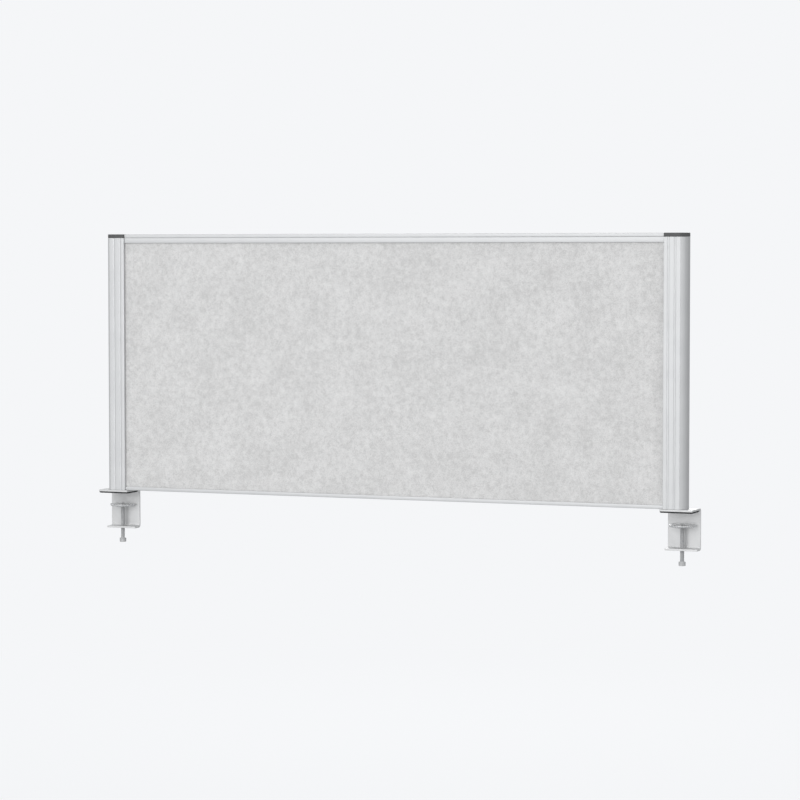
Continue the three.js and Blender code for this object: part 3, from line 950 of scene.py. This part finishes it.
def felt_mesh(low, high, outward):
    outer, back = (high.y, low.y) if outward > 0 else (low.y, high.y)
    mesh = bmesh.new()
    xs, zs = graded(low.x, high.x), graded(low.z, high.z)

    def sheet_of_points(depth):
        return [[mesh.verts.new(Vector((x, depth(x, z), z)) * MM) for x in xs] for z in zs]

    face = sheet_of_points(lambda x, z: outer - outward * felt_sink(x, z))
    rear = sheet_of_points(lambda x, z: back)
    for grid in (face, rear):
        for lower, upper in zip(grid, grid[1:]):
            for i in range(len(xs) - 1):
                mesh.faces.new((lower[i], lower[i + 1], upper[i + 1], upper[i]))

    def border(grid):
        rising = [row[-1] for row in grid[:-1]]
        falling = [row[0] for row in grid[:0:-1]]
        return grid[0][:-1] + rising + grid[-1][:0:-1] + falling

    skin_between(mesh, [border(face), border(rear)])
    return to_mesh("felt", mesh)


for node, outward in (("front_felt", -1), ("back_felt", 1)):
    low, high = drawn(node)
    piece = hand_over(f"{node}_sheet", felt_mesh(low, high, outward), FELT, "frame", node, 60)

# %% [markdown]
# ## The core board
# The board fills the frame and leaves an L-shaped notch at each corner, where the corner brackets sit.
# It is one prism, pushed from the back felt to the front felt, with its cut edges slightly broken.

# %% Make the core board
CORE_LOW, CORE_HIGH = drawn("acoustic_core")
NOTCH_DEPTH = 8.0
NOTCH_REACH = 44.0
BOARD_BREAK = 0.6


def notch(end, level):
    """The three corners of one notch, from the level edge to the upright edge."""
    x = end * CORE_HIGH.x
    z = CORE_HIGH.z if level > 0 else CORE_LOW.z
    return [
        (x - end * NOTCH_REACH, z, 1.0), (x - end * NOTCH_REACH, z - level * NOTCH_DEPTH, 1.0),
        (x - end * NOTCH_DEPTH, z - level * NOTCH_DEPTH, 1.0),
        (x - end * NOTCH_DEPTH, z - level * NOTCH_REACH, 1.0), (x, z - level * NOTCH_REACH, 1.0),
    ]


board = soften(notch(1, -1) + notch(1, 1)[::-1] + notch(-1, 1) + notch(-1, -1)[::-1])
core = prism([board], rounded_edge(CORE_LOW.y, CORE_HIGH.y, BOARD_BREAK),
             lambda u, v, height: Vector((u, height, v)) * MM)
hand_over("acoustic_core_board", to_mesh("board", core), CORE_BOARD, "frame", "acoustic_core")

# %% [markdown]
# ## Ridges that run round: threads and knurls
# A thread is one ridge that climbs round a rod, and a knurl is many ridges that don't climb. Both are
# the same rule, so one Geometry Nodes tree rolls either. It takes a turned blank, works out for each
# point how far it is round the axis and along it, and pushes the point inwards between the ridges. The
# climb is right-handed, as on every ordinary screw.


# %% Build the Geometry Nodes tree that rolls ridges
def new_tree(name, inputs):
    """An empty tree with named inputs. Gives the graph, the inputs and each input's identifier."""
    tree = bpy.data.node_groups.new(name, "GeometryNodeTree")
    graph = Graph(tree)
    keys = {}
    for label, kind in inputs.items():
        made = tree.interface.new_socket(label, in_out="INPUT", socket_type="NodeSocket" + kind)
        keys[label] = made.identifier
    tree.interface.new_socket("Geometry", in_out="OUTPUT", socket_type="NodeSocketGeometry")
    return graph, graph.node("NodeGroupInput"), keys


def end_tree(graph, geometry, material):
    """Realizes instances, sets the material and closes the tree."""
    real = graph.node("GeometryNodeRealizeInstances", sockets={0: geometry})
    dressed = graph.node("GeometryNodeSetMaterial", sockets={"Geometry": real, "Material": material})
    graph.node("NodeGroupOutput", sockets={0: dressed})


def build_ridge_tree():
    graph, given, keys = new_tree("rolled_ridges", {
        "Blank": "Geometry", "Climb": "Float", "Ridges": "Float", "Depth": "Float", "Foot": "Float",
        "Top": "Float", "Run Out": "Float", "Least Radius": "Float", "Material": "Material"})
    place = graph.node("GeometryNodeInputPosition")
    x = graph.node("ShaderNodeSeparateXYZ", sockets={0: place})
    y, z = x.out("Y"), x.out("Z")
    radius = (x * x + y * y).math("SQRT", x * x + y * y)
    round_share = y.math("ARCTAN2", y, x) / (2 * math.pi)
    turns = z * given.out("Climb") - round_share * given.out("Ridges")
    phase = turns.math("FRACT", turns)
    slope = (phase * 2 - 1).math("ABSOLUTE", phase * 2 - 1)
    valley = (slope * 1.5 - 0.25).clamped()
    rise = ((z - given.out("Foot")) / given.out("Run Out")).clamped()
    fall = ((given.out("Top") - z) / given.out("Run Out")).clamped()
    outside = radius.math("GREATER_THAN", radius, given.out("Least Radius"))
    shrink = valley * rise * fall * outside * given.out("Depth") / radius.math("MAXIMUM", radius, 1e-6)
    offset = graph.node("ShaderNodeCombineXYZ", sockets={"X": 0 - x * shrink, "Y": 0 - y * shrink})
    rolled = graph.node("GeometryNodeSetPosition",
                        sockets={"Geometry": given.out("Blank"), "Offset": offset})
    end_tree(graph, rolled, given.out("Material"))
    return graph.tree, keys


RIDGE_TREE, RIDGE_KEYS = build_ridge_tree()


def grown(mesh, tree, keys, **values):
    """Runs a Geometry Nodes tree on a mesh, with its inputs set by name, and keeps the result."""
    def add(carrier):
        modifier = carrier.modifiers.new("tree", "NODES")
        modifier.node_group = tree
        for label, value in values.items():
            modifier[keys[label.replace("_", " ")]] = value
    return evaluated(mesh, add)


def threaded(mesh, pitch, depth, foot, top, material, least_radius=0.0):
    """Rolls a right-hand thread between two heights. All sizes are in millimetres."""
    return grown(mesh, RIDGE_TREE, RIDGE_KEYS, Climb=1 / (pitch * MM), Ridges=1.0, Depth=depth * MM,
                 Foot=foot * MM, Top=top * MM, Run_Out=pitch * MM, Least_Radius=least_radius * MM,
                 Material=material)


print("ridge tree has", len(RIDGE_TREE.nodes), "nodes")

# %% [markdown]
# ## The small screws
# Four screws a side hold the corner brackets, and two more come up through each bracket into the post.
# They share one recipe: a turned blank with a hexagon socket in its head, and enough rows along the
# shank for the thread. The blank is made pointing up and then turned to the way its solid points.

# %% Make the small screws
SMALL_PITCH = 0.8
ROWS_A_PITCH = 6
SHANK = 2.35
SHANK_POINT = 0.5
SMALL_THREAD_DEPTH = 0.45
SOCKET = 1.5
FLAT_HEAD = [(0, 1.7), (SOCKET, 1.4, 6), (SOCKET, 0.15, 6), (1.9, 0), (4.3, 0), (4.6, 0.3), (2.6, 2.3)]
PAN_HEAD = [(0, -0.9), (SOCKET, -1.2, 6), (SOCKET, -2.45, 6), (1.9, -2.6), (3.3, -2.6), (3.9, -2.4),
            (4.3, -1.9), (4.5, -1.2), (4.5, -0.2), (4.3, 0), (2.6, 0)]


def shank_rows(radius, low, high, pitch):
    count = round((high - low) / pitch * ROWS_A_PITCH)
    return [(radius, low + (high - low) * i / count) for i in range(count + 1)]


def small_screw(head, length):
    """A screw that points up, with the face it bears on at height 0."""
    neck = head[-1][1] + 0.3
    shank = shank_rows(SHANK, neck, length - SHANK_POINT, SMALL_PITCH)
    blank = head + shank + [(SHANK - SHANK_POINT, length), (0, length)]
    return threaded(to_mesh("screw", turned(blank, 36)), SMALL_PITCH, SMALL_THREAD_DEPTH, neck,
                    length - 0.3, ZINC)


def fit_screw(name, head, bears_at, length, direction):
    """Points a screw along `direction` with its bearing face at `bears_at`, and hands it over."""
    mesh = small_screw(head, length)
    turn = Vector((0, 0, 1)).rotation_difference(Vector(direction)).to_matrix().to_4x4()
    mesh.transform(at(*bears_at) @ turn)
    hand_over(f"{name}_threaded", mesh, ZINC, "frame", name, 50)


for name, side in SIDES:
    for label in ("front", "back"):
        node = f"{name}_post_screw_{label}"
        low, high = drawn(node)
        middle = (low + high) / 2
        fit_screw(node, FLAT_HEAD, (middle.x, middle.y, low.z), high.z - low.z, (0, 0, 1))
    node = f"{name}_bottom_corner_rail_screw"
    low, high = drawn(node)
    fit_screw(node, FLAT_HEAD, ((low.x + high.x) / 2, 0, low.z), high.z - low.z, (0, 0, 1))
    head_height = -PAN_HEAD[3][1]
    node = f"{name}_top_corner_rail_screw"
    low, high = drawn(node)
    fit_screw(node, PAN_HEAD, ((low.x + high.x) / 2, 0, high.z - head_height),
              high.z - low.z - head_height, (0, 0, -1))
    for level in ("top", "bottom"):
        node = f"{name}_{level}_corner_post_screw"
        low, high = drawn(node)
        head_end = low.x + head_height if side > 0 else high.x - head_height
        fit_screw(node, PAN_HEAD, (head_end, 0, (low.z + high.z) / 2),
                  high.x - low.x - head_height, (side, 0, 0))

# %% [markdown]
# ## Bent steel: corner brackets and clamp brackets
# Both kinds of bracket are cut from flat sheet and then bent, so both are walks along a centre line:
# straight on, round a bend, straight on. The strip that is carried along has rounded corners in plan
# and soft edges, as tumbled and coated sheet has. Holes are punched last.

# %% Make the corner brackets
CORNER_SHEET = 2.5
CORNER_BEND = 2.75
CORNER_HOLE = 2.6


def quarter(radius):
    return radius * math.pi / 2


for name, side in SIDES:
    for level, up in (("top", -1), ("bottom", 1)):
        node = f"{name}_{level}_corner"
        low, high = drawn(node)
        corner_x = high.x if side > 0 else -low.x
        corner_z = low.z if up > 0 else high.z
        straight = high.x - low.x - CORNER_SHEET / 2 - CORNER_BEND
        start = (corner_x - CORNER_SHEET / 2, high.z - low.z)
        moves = [(straight, 0), (quarter(CORNER_BEND), -90), (straight, 0)]

        def place(w, a, b, side=side, up=up, corner_z=corner_z):
            return Vector((side * a, w, corner_z + up * b)) * MM

        strip = bent_sheet(walk(start, -90, moves), high.y - low.y, CORNER_SHEET, 3.0, 0.4, place)
        rail_x = middle_of(f"{node}_rail_screw").x
        post_z = middle_of(f"{node}_post_screw").z
        hole = [(0, -6), (CORNER_HOLE, -6), (CORNER_HOLE, 6), (0, 6)]
        sideways = Matrix.Rotation(math.pi / 2, 4, "Y")
        holes = [moved(turned(hole, 32), at(rail_x, 0, corner_z)),
                 moved(turned(hole, 32), at(side * corner_x, 0, post_z) @ sideways)]
        mesh = drilled(to_mesh("corner", strip), holes)
        hand_over(f"{node}_bent", mesh, ZINC, "frame", node)

# %% Make the clamp brackets
SHEET = 3.5
INNER_BEND = 3.0
BEND = INNER_BEND + SHEET / 2
PLAN_CORNER = 1.0
BRACKET_EDGE = 0.55
FLANGE_FRONT = 9.8
BUSH_HOLE = 5.6

web_y = BRACKET_HIGH.y - SHEET / 2
bracket_moves = [
    (web_y - BEND - BRACKET_LOW.y, 0), (quarter(BEND), -90),
    (BRACKET_HIGH.z - BRACKET_LOW.z - SHEET - 2 * BEND, 0), (quarter(BEND), -90),
    (web_y - BEND - FLANGE_FRONT, 0),
]
bracket_walk = walk((BRACKET_LOW.y, BRACKET_HIGH.z - SHEET / 2), 0, bracket_moves)

for name, side in SIDES:
    def place(w, y, z, side=side):
        return Vector((side * CLAMP_X + w, y, z)) * MM

    width = BRACKET_HIGH.x - BRACKET_LOW.x
    strip = bent_sheet(bracket_walk, width, SHEET, PLAN_CORNER, BRACKET_EDGE, place)
    punch = turned([(0, -4), (BUSH_HOLE, -4), (BUSH_HOLE, 6), (0, 6)], 48)
    holes = [moved(punch, at(side * CLAMP_X, SCREW_Y, BRACKET_LOW.z))]
    for label in ("front", "back"):
        screw = middle_of(f"{name}_post_screw_{label}")
        holes.append(moved(countersink(SHEET + 1), at(screw.x, screw.y, BRACKET_HIGH.z - SHEET)))
    mesh = drilled(to_mesh("bracket", strip), holes)
    hand_over(f"{name}_clamp_bracket_bent", mesh, CLAMP_COAT, "frame", f"{name}_clamp_bracket")

# %% [markdown]
# ## The rubber pads
# A pad keeps the bracket from marking the desk and from slipping on it. Its underside carries a row of
# soft ribs. They repeat, so a Geometry Nodes tree lays one bar at each point of a line and unites the
# bars with the pad's body.


# %% Build the tree that lays ribs, and make the pads
def build_rib_tree():
    graph, given, keys = new_tree("pad_ribs", {
        "Body": "Geometry", "Count": "Int", "First": "Vector", "Step": "Vector", "Radius": "Float",
        "Length": "Float", "Material": "Material"})
    line = graph.node("GeometryNodeMeshLine", {"mode": "OFFSET"}, {
        "Count": given.out("Count"), "Start Location": given.out("First"), "Offset": given.out("Step")})
    bar = graph.node("GeometryNodeMeshCylinder", {"fill_type": "NGON"}, {
        "Vertices": 16, "Radius": given.out("Radius"), "Depth": given.out("Length")})
    lying = graph.node("GeometryNodeTransform",
                       sockets={"Geometry": bar, "Rotation": (0, math.pi / 2, 0)})
    bars = graph.node("GeometryNodeInstanceOnPoints", sockets={"Points": line, "Instance": lying})
    real = graph.node("GeometryNodeRealizeInstances", sockets={0: bars})
    union = graph.node("GeometryNodeMeshBoolean", {"operation": "UNION", "solver": "EXACT"})
    boolean = union.socket.node
    graph.tree.links.new(given.out("Body").socket, boolean.inputs["Mesh 2"])
    graph.tree.links.new(real.socket, boolean.inputs["Mesh 2"])
    end_tree(graph, union, given.out("Material"))
    return graph.tree, keys


RIB_TREE, RIB_KEYS = build_rib_tree()
RIB_RADIUS = 0.8
RIB_STEP = 3.0
RIB_MARGIN = 3.0
PAD_ROUND = 0.35


def rounded_rectangle(x0, x1, y0, y1, radius):
    return soften([(x0, y0, radius), (x1, y0, radius), (x1, y1, radius), (x0, y1, radius)], 5)


for name, side in SIDES:
    low, high = drawn(f"{name}_clamp_pad")
    plan = rounded_rectangle(low.x, high.x, low.y, high.y, PLAN_CORNER)
    body = prism([plan], rounded_edge(low.z + RIB_RADIUS, high.z, PAD_ROUND), upright)
    ribs = int((high.y - low.y - 2 * RIB_MARGIN) / RIB_STEP) + 1
    first = Vector(((low.x + high.x) / 2, low.y + RIB_MARGIN, low.z + RIB_RADIUS)) * MM
    mesh = grown(to_mesh("pad", body), RIB_TREE, RIB_KEYS, Count=ribs, First=first,
                 Step=Vector((0, RIB_STEP * MM, 0)), Radius=RIB_RADIUS * MM,
                 Length=(high.x - low.x - 2 * PLAN_CORNER) * MM, Material=PAD_RUBBER)
    hand_over(f"{name}_clamp_pad_ribbed", mesh, PAD_RUBBER, "frame", f"{name}_clamp_pad")

# %% [markdown]
# ## Clamp screw and threaded bush
# The clamp screw is an M8 socket-head screw that stands on its head: knurled head below, then 64 mm
# of thread, a shoulder, and a tip with a groove for the snap ring. The bush in the lower flange
# carries the matching thread. Both threads are rolled by the same rule in the same frame, so they sit
# ridge in valley. They stay so in use, because the screw climbs one pitch for every turn.

# %% Make the clamp screws
PITCH = 1.25
THREAD_DEPTH = 0.5
SCREW_RADIUS = 3.9
HEAD_RADIUS = (SCREW_HIGH.x - SCREW_LOW.x) / 2
HEAD_HEIGHT = 8.0
HEX_HALF = 3.0
HEX_DEPTH = 4.0
SHOULDER = PLATE_LOW.z - 0.2
TIP_RADIUS = 2.5
GROOVE_RADIUS = 2.0
RING_GROOVE = (SCREW_HIGH.z - 1.3, SCREW_HIGH.z - 0.5)
KNURLS = 32
KNURL_DEPTH = 0.25


def clamp_screw_rows():
    foot, head_top, tip = SCREW_LOW.z, SCREW_LOW.z + HEAD_HEIGHT, SCREW_HIGH.z
    socket = [(0, foot + HEX_DEPTH + 1.2), (HEX_HALF * 0.85, foot + HEX_DEPTH + 0.3),
              (HEX_HALF, foot + HEX_DEPTH, 6), (HEX_HALF, foot + 0.5, 6), (HEX_HALF + 0.7, foot)]
    head = [(HEAD_RADIUS - 1.1, foot), (HEAD_RADIUS - 0.5, foot + 0.15),
            (HEAD_RADIUS - 0.12, foot + 0.55), (HEAD_RADIUS, foot + 1.0),
            (HEAD_RADIUS, foot + 1.4), (HEAD_RADIUS, head_top - 0.8),
            (HEAD_RADIUS, head_top - 0.45), (HEAD_RADIUS - 0.15, head_top - 0.12),
            (HEAD_RADIUS - 0.5, head_top), (SCREW_RADIUS + 0.35, head_top)]
    shank = shank_rows(SCREW_RADIUS, head_top + 0.4, SHOULDER - 0.7, PITCH)
    groove_foot, groove_top = RING_GROOVE
    end = [(SCREW_RADIUS - 0.6, SHOULDER), (TIP_RADIUS, SHOULDER), (TIP_RADIUS, groove_foot),
           (GROOVE_RADIUS, groove_foot), (GROOVE_RADIUS, groove_top), (TIP_RADIUS, groove_top),
           (TIP_RADIUS, tip - 0.2), (TIP_RADIUS - 0.2, tip), (0, tip)]
    return socket + head + shank + end


for name, side in SIDES:
    head_top = SCREW_LOW.z + HEAD_HEIGHT
    blank = to_mesh("clamp_screw", turned(clamp_screw_rows(), 3 * KNURLS))
    rolled = threaded(blank, PITCH, THREAD_DEPTH, head_top + 1, SHOULDER - 0.4, ZINC,
                      SCREW_RADIUS - 0.3)
    knurled = grown(rolled, RIDGE_TREE, RIDGE_KEYS, Climb=0.0, Ridges=float(KNURLS),
                    Depth=KNURL_DEPTH * MM, Foot=(SCREW_LOW.z + 0.9) * MM,
                    Top=(head_top - 0.3) * MM, Run_Out=0.4 * MM,
                    Least_Radius=(HEAD_RADIUS - 0.2) * MM, Material=ZINC)
    knurled.transform(at(side * CLAMP_X, SCREW_Y, 0))
    hand_over(f"{name}_clamp_screw_threaded", knurled, ZINC, f"{name}_screw", f"{name}_clamp_screw",
              40)

# %% Make the threaded bushes
BUSH_BODY = 5.4
BUSH_BORE = 4.1


def bush_rows(low, high):
    collar_foot = high.z - 0.8
    collar = (high.x - low.x) / 2
    outside = [(BUSH_BORE + 0.35, low.z), (BUSH_BODY - 0.2, low.z), (BUSH_BODY, low.z + 0.2),
               (BUSH_BODY, collar_foot), (collar - 0.15, collar_foot), (collar, collar_foot + 0.15),
               (collar, high.z - 0.25), (collar - 0.25, high.z), (BUSH_BORE + 0.35, high.z)]
    return outside + shank_rows(BUSH_BORE, low.z + 0.35, high.z - 0.35, PITCH)[::-1]


for name, side in SIDES:
    low, high = drawn(f"{name}_threaded_bush")
    blank = to_mesh("bush", turned(bush_rows(low, high), 72, closed=True))
    inner = threaded(blank, PITCH, THREAD_DEPTH - 0.1, low.z + 0.2, high.z - 0.2, ZINC)
    inner.transform(at(side * CLAMP_X, SCREW_Y, 0))
    hand_over(f"{name}_threaded_bush_tapped", inner, ZINC, "frame", f"{name}_threaded_bush",
              40)

# %% [markdown]
# ## Pressure plate and snap ring
# The plate is a shallow steel dish. Its shoulder is round, its rim is drawn in below, and one side is
# cut flat so that it can't spin against the web. It starts as a solid prism. A cavity is cut from
# below, a hub is added back round the screw, and the bore and the well for the snap ring are drilled.
# The ring itself is a C that springs into the screw's groove.

# %% Make the pressure plates and snap rings
PLATE_RADIUS = (PLATE_HIGH.x - PLATE_LOW.x) / 2
PLATE_FLAT = PLATE_HIGH.y - SCREW_Y
PLATE_RIM = 2.5
PLATE_SKIN = 2.0
HUB_RADIUS = 8.0
HUB_BORE = 2.8
WELL_RADIUS = 4.8
RING_RADIUS = 4.0
RING_GAP = 34


def plate_outline(inwards, corner):
    """The disc with its flat side, drawn `inwards` inside its true outline."""
    radius, flat = PLATE_RADIUS - inwards, PLATE_FLAT - inwards
    lean = math.degrees(math.asin(flat / radius))
    rim = arc((0, 0), radius, 180 - lean, 360 + lean, 64)
    return soften([(*rim[0], corner), *rim[1:-1], (*rim[-1], corner)], 5)


def plate_mesh():
    foot, top = PLATE_LOW.z, PLATE_HIGH.z
    ceiling = top - PLATE_SKIN
    shoulder = [(foot, 1.7), (foot + 0.3, 1.35), (foot + 1.2, 0.85), (foot + 2.2, 0.4),
                (foot + 3.0, 0.08), (top - 1.0, 0), (top - 0.6, 0.1), (top - 0.25, 0.4), (top, 1.0)]
    solid = prism([plate_outline(0, 2.4)], shoulder, upright)
    cavity_levels = [(foot - 1, 0), (ceiling - 0.8, 0), (ceiling - 0.25, 0.2), (ceiling, 0.8)]
    cavity = prism([plate_outline(PLATE_RIM, 1.2)], cavity_levels, upright)
    hub = turned([(0, foot), (HUB_RADIUS - 0.4, foot), (HUB_RADIUS, foot + 0.4),
                  (HUB_RADIUS, ceiling + 0.5), (0, ceiling + 0.5)], 64)
    bore = turned([(0, foot - 1), (HUB_BORE, foot - 1), (HUB_BORE, top + 1), (0, top + 1)], 48)
    well = turned([(0, ceiling), (WELL_RADIUS, ceiling), (WELL_RADIUS, top - 0.3),
                   (WELL_RADIUS + 0.3, top), (WELL_RADIUS + 0.3, top + 1), (0, top + 1)], 48)
    dish = drilled(to_mesh("plate", solid), [cavity])
    return drilled(combined(dish, [hub], "UNION"), [bore, well])


def ring_outline():
    outer = arc((0, 0), RING_RADIUS, RING_GAP, 360 - RING_GAP, 44)
    inner = arc((0, 0), GROOVE_RADIUS + 0.15, 360 - RING_GAP, RING_GAP, 44)
    return soften([(*outer[0], 0.5), *outer[1:-1], (*outer[-1], 0.5),
                   (*inner[0], 0.3), *inner[1:-1], (*inner[-1], 0.3)])


for name, side in SIDES:
    plate = plate_mesh()
    plate.transform(at(side * CLAMP_X, SCREW_Y, 0))
    hand_over(f"{name}_pressure_plate_pressed", plate, BRIGHT_ZINC, f"{name}_jaw",
              f"{name}_pressure_plate")
    low, high = drawn(f"{name}_screw_clip")

    def on_screw(u, v, height, side=side):
        return Vector((side * CLAMP_X + u, SCREW_Y + v, height)) * MM

    ring = to_mesh("ring", prism([ring_outline()], rounded_edge(low.z, high.z, 0.12, 2), on_screw))
    hand_over(f"{name}_screw_clip_sprung", ring, SPRING_STEEL, f"{name}_screw", f"{name}_screw_clip")

# %% [markdown]
# ## Floor, light and air
# The panel hangs in a plain pale studio, at the height it would have on a desk, so the floor lies three
# quarters of a metre below it. The floor glows in the backdrop's own tone, like a lit paper sweep, and
# keeps a small share of ordinary white for the shadows. With distance it turns into pure glow, so no
# horizon shows. It is left out of the light that reaches the panel, or it would shine up under the
# clamps, where a desk and its shadow belong. Large soft lamps stand in front, behind and to the right,
# and a graded sky fills in from all round: bright from the front and from above, dimmer from behind
# and from below.

# %% Make the floor, the lamps and the world
FLOOR_HEIGHT = -0.75
FLOOR_RADIUS = 60.0
BACKDROP = (0.913, 0.922, 0.938, 1)
MATT_SHARE = 0.3


def build_floor_finish():
    material = bpy.data.materials.new("pale_floor")
    material.use_nodes = True
    graph = Graph(material.node_tree)
    point = graph.node("ShaderNodeTexCoord").out("Object")
    reach = graph.node("ShaderNodeVectorMath", {"operation": "LENGTH"}, {0: point}, 1)
    matt = (1 - reach.between(0.6, 3.5)) * MATT_SHARE
    glow = graph.node("ShaderNodeEmission", sockets={"Color": BACKDROP, "Strength": 1.0})
    white = graph.node("ShaderNodeBsdfPrincipled",
                       sockets={"Base Color": grey(0.85, -0.01), "Roughness": 0.9})
    both = graph.node("ShaderNodeMixShader", sockets={0: matt, 1: glow, 2: white})
    graph.node("ShaderNodeOutputMaterial", sockets={"Surface": both})
    return material


disc = bmesh.new()
bmesh.ops.create_circle(disc, cap_ends=True, segments=96, radius=FLOOR_RADIUS)
floor_mesh = bpy.data.meshes.new("floor")
moved(disc, Matrix.Translation((0, 0, FLOOR_HEIGHT))).to_mesh(floor_mesh)
disc.free()
floor_mesh.materials.append(build_floor_finish())
floor = bpy.data.objects.new("floor", floor_mesh)
bpy.context.scene.collection.objects.link(floor)
floor.visible_diffuse = False
floor.visible_glossy = False


def add_lamp(name, place, target, size, power):
    lamp = bpy.data.lights.new(name, "AREA")
    lamp.shape = "DISK"
    lamp.size = size
    lamp.energy = power
    holder = bpy.data.objects.new(name, lamp)
    holder.location = place
    holder.rotation_euler = (Vector(target) - Vector(place)).to_track_quat("-Z", "Y").to_euler()
    bpy.context.scene.collection.objects.link(holder)


add_lamp("key_softbox", (-0.7, -4.4, 1.1), (0, 0, 0.2), 3.8, 72)
add_lamp("side_softbox", (4.6, -1.8, 0.9), (0, 0, 0.2), 2.6, 26)
add_lamp("rear_softbox", (-1.0, 4.0, 2.0), (0, 0, 0.2), 2.8, 75)

world = bpy.data.worlds.new("studio")
bpy.context.scene.world = world
world.use_nodes = True
sky = Graph(world.node_tree)
direction = sky.node("ShaderNodeTexCoord").out("Generated")
towards_key = sky.node("ShaderNodeVectorMath", {"operation": "DOT_PRODUCT"},
                       {0: direction, 1: Vector((-0.25, -0.9, 0.3)).normalized()}, 1)
upward = sky.node("ShaderNodeSeparateXYZ", sockets={0: direction}).out("Z")
shade = (towards_key * 0.5 + 0.5).between(0.0, 0.9) * (0.3 + upward.between(-0.7, 0.0) * 0.7)
lighting = sky.node("ShaderNodeBackground", sockets={
    "Color": sky.blend(shade, grey(0.54, -0.015), grey(1.0, -0.01)), "Strength": 0.88})
plain = sky.node("ShaderNodeBackground", sockets={"Color": BACKDROP, "Strength": 1.0})
seen = sky.node("ShaderNodeLightPath").out("Is Camera Ray")
mixed = sky.node("ShaderNodeMixShader", sockets={0: seen, 1: lighting, 2: plain})
sky.node("ShaderNodeOutputWorld", sockets={"Surface": mixed})
bpy.context.scene.view_settings.view_transform = "Standard"

# %% [markdown]
# ## Count the pieces
# The finished pieces have to stay inside the box of the imported solids. The last cell prints how many
# pieces were made and how many triangles they have.

# %% Count the pieces and triangles
print("pieces:", len(pieces_made), "| triangles:",
      sum(len(p.vertices) - 2 for piece in pieces_made for p in piece.data.polygons))
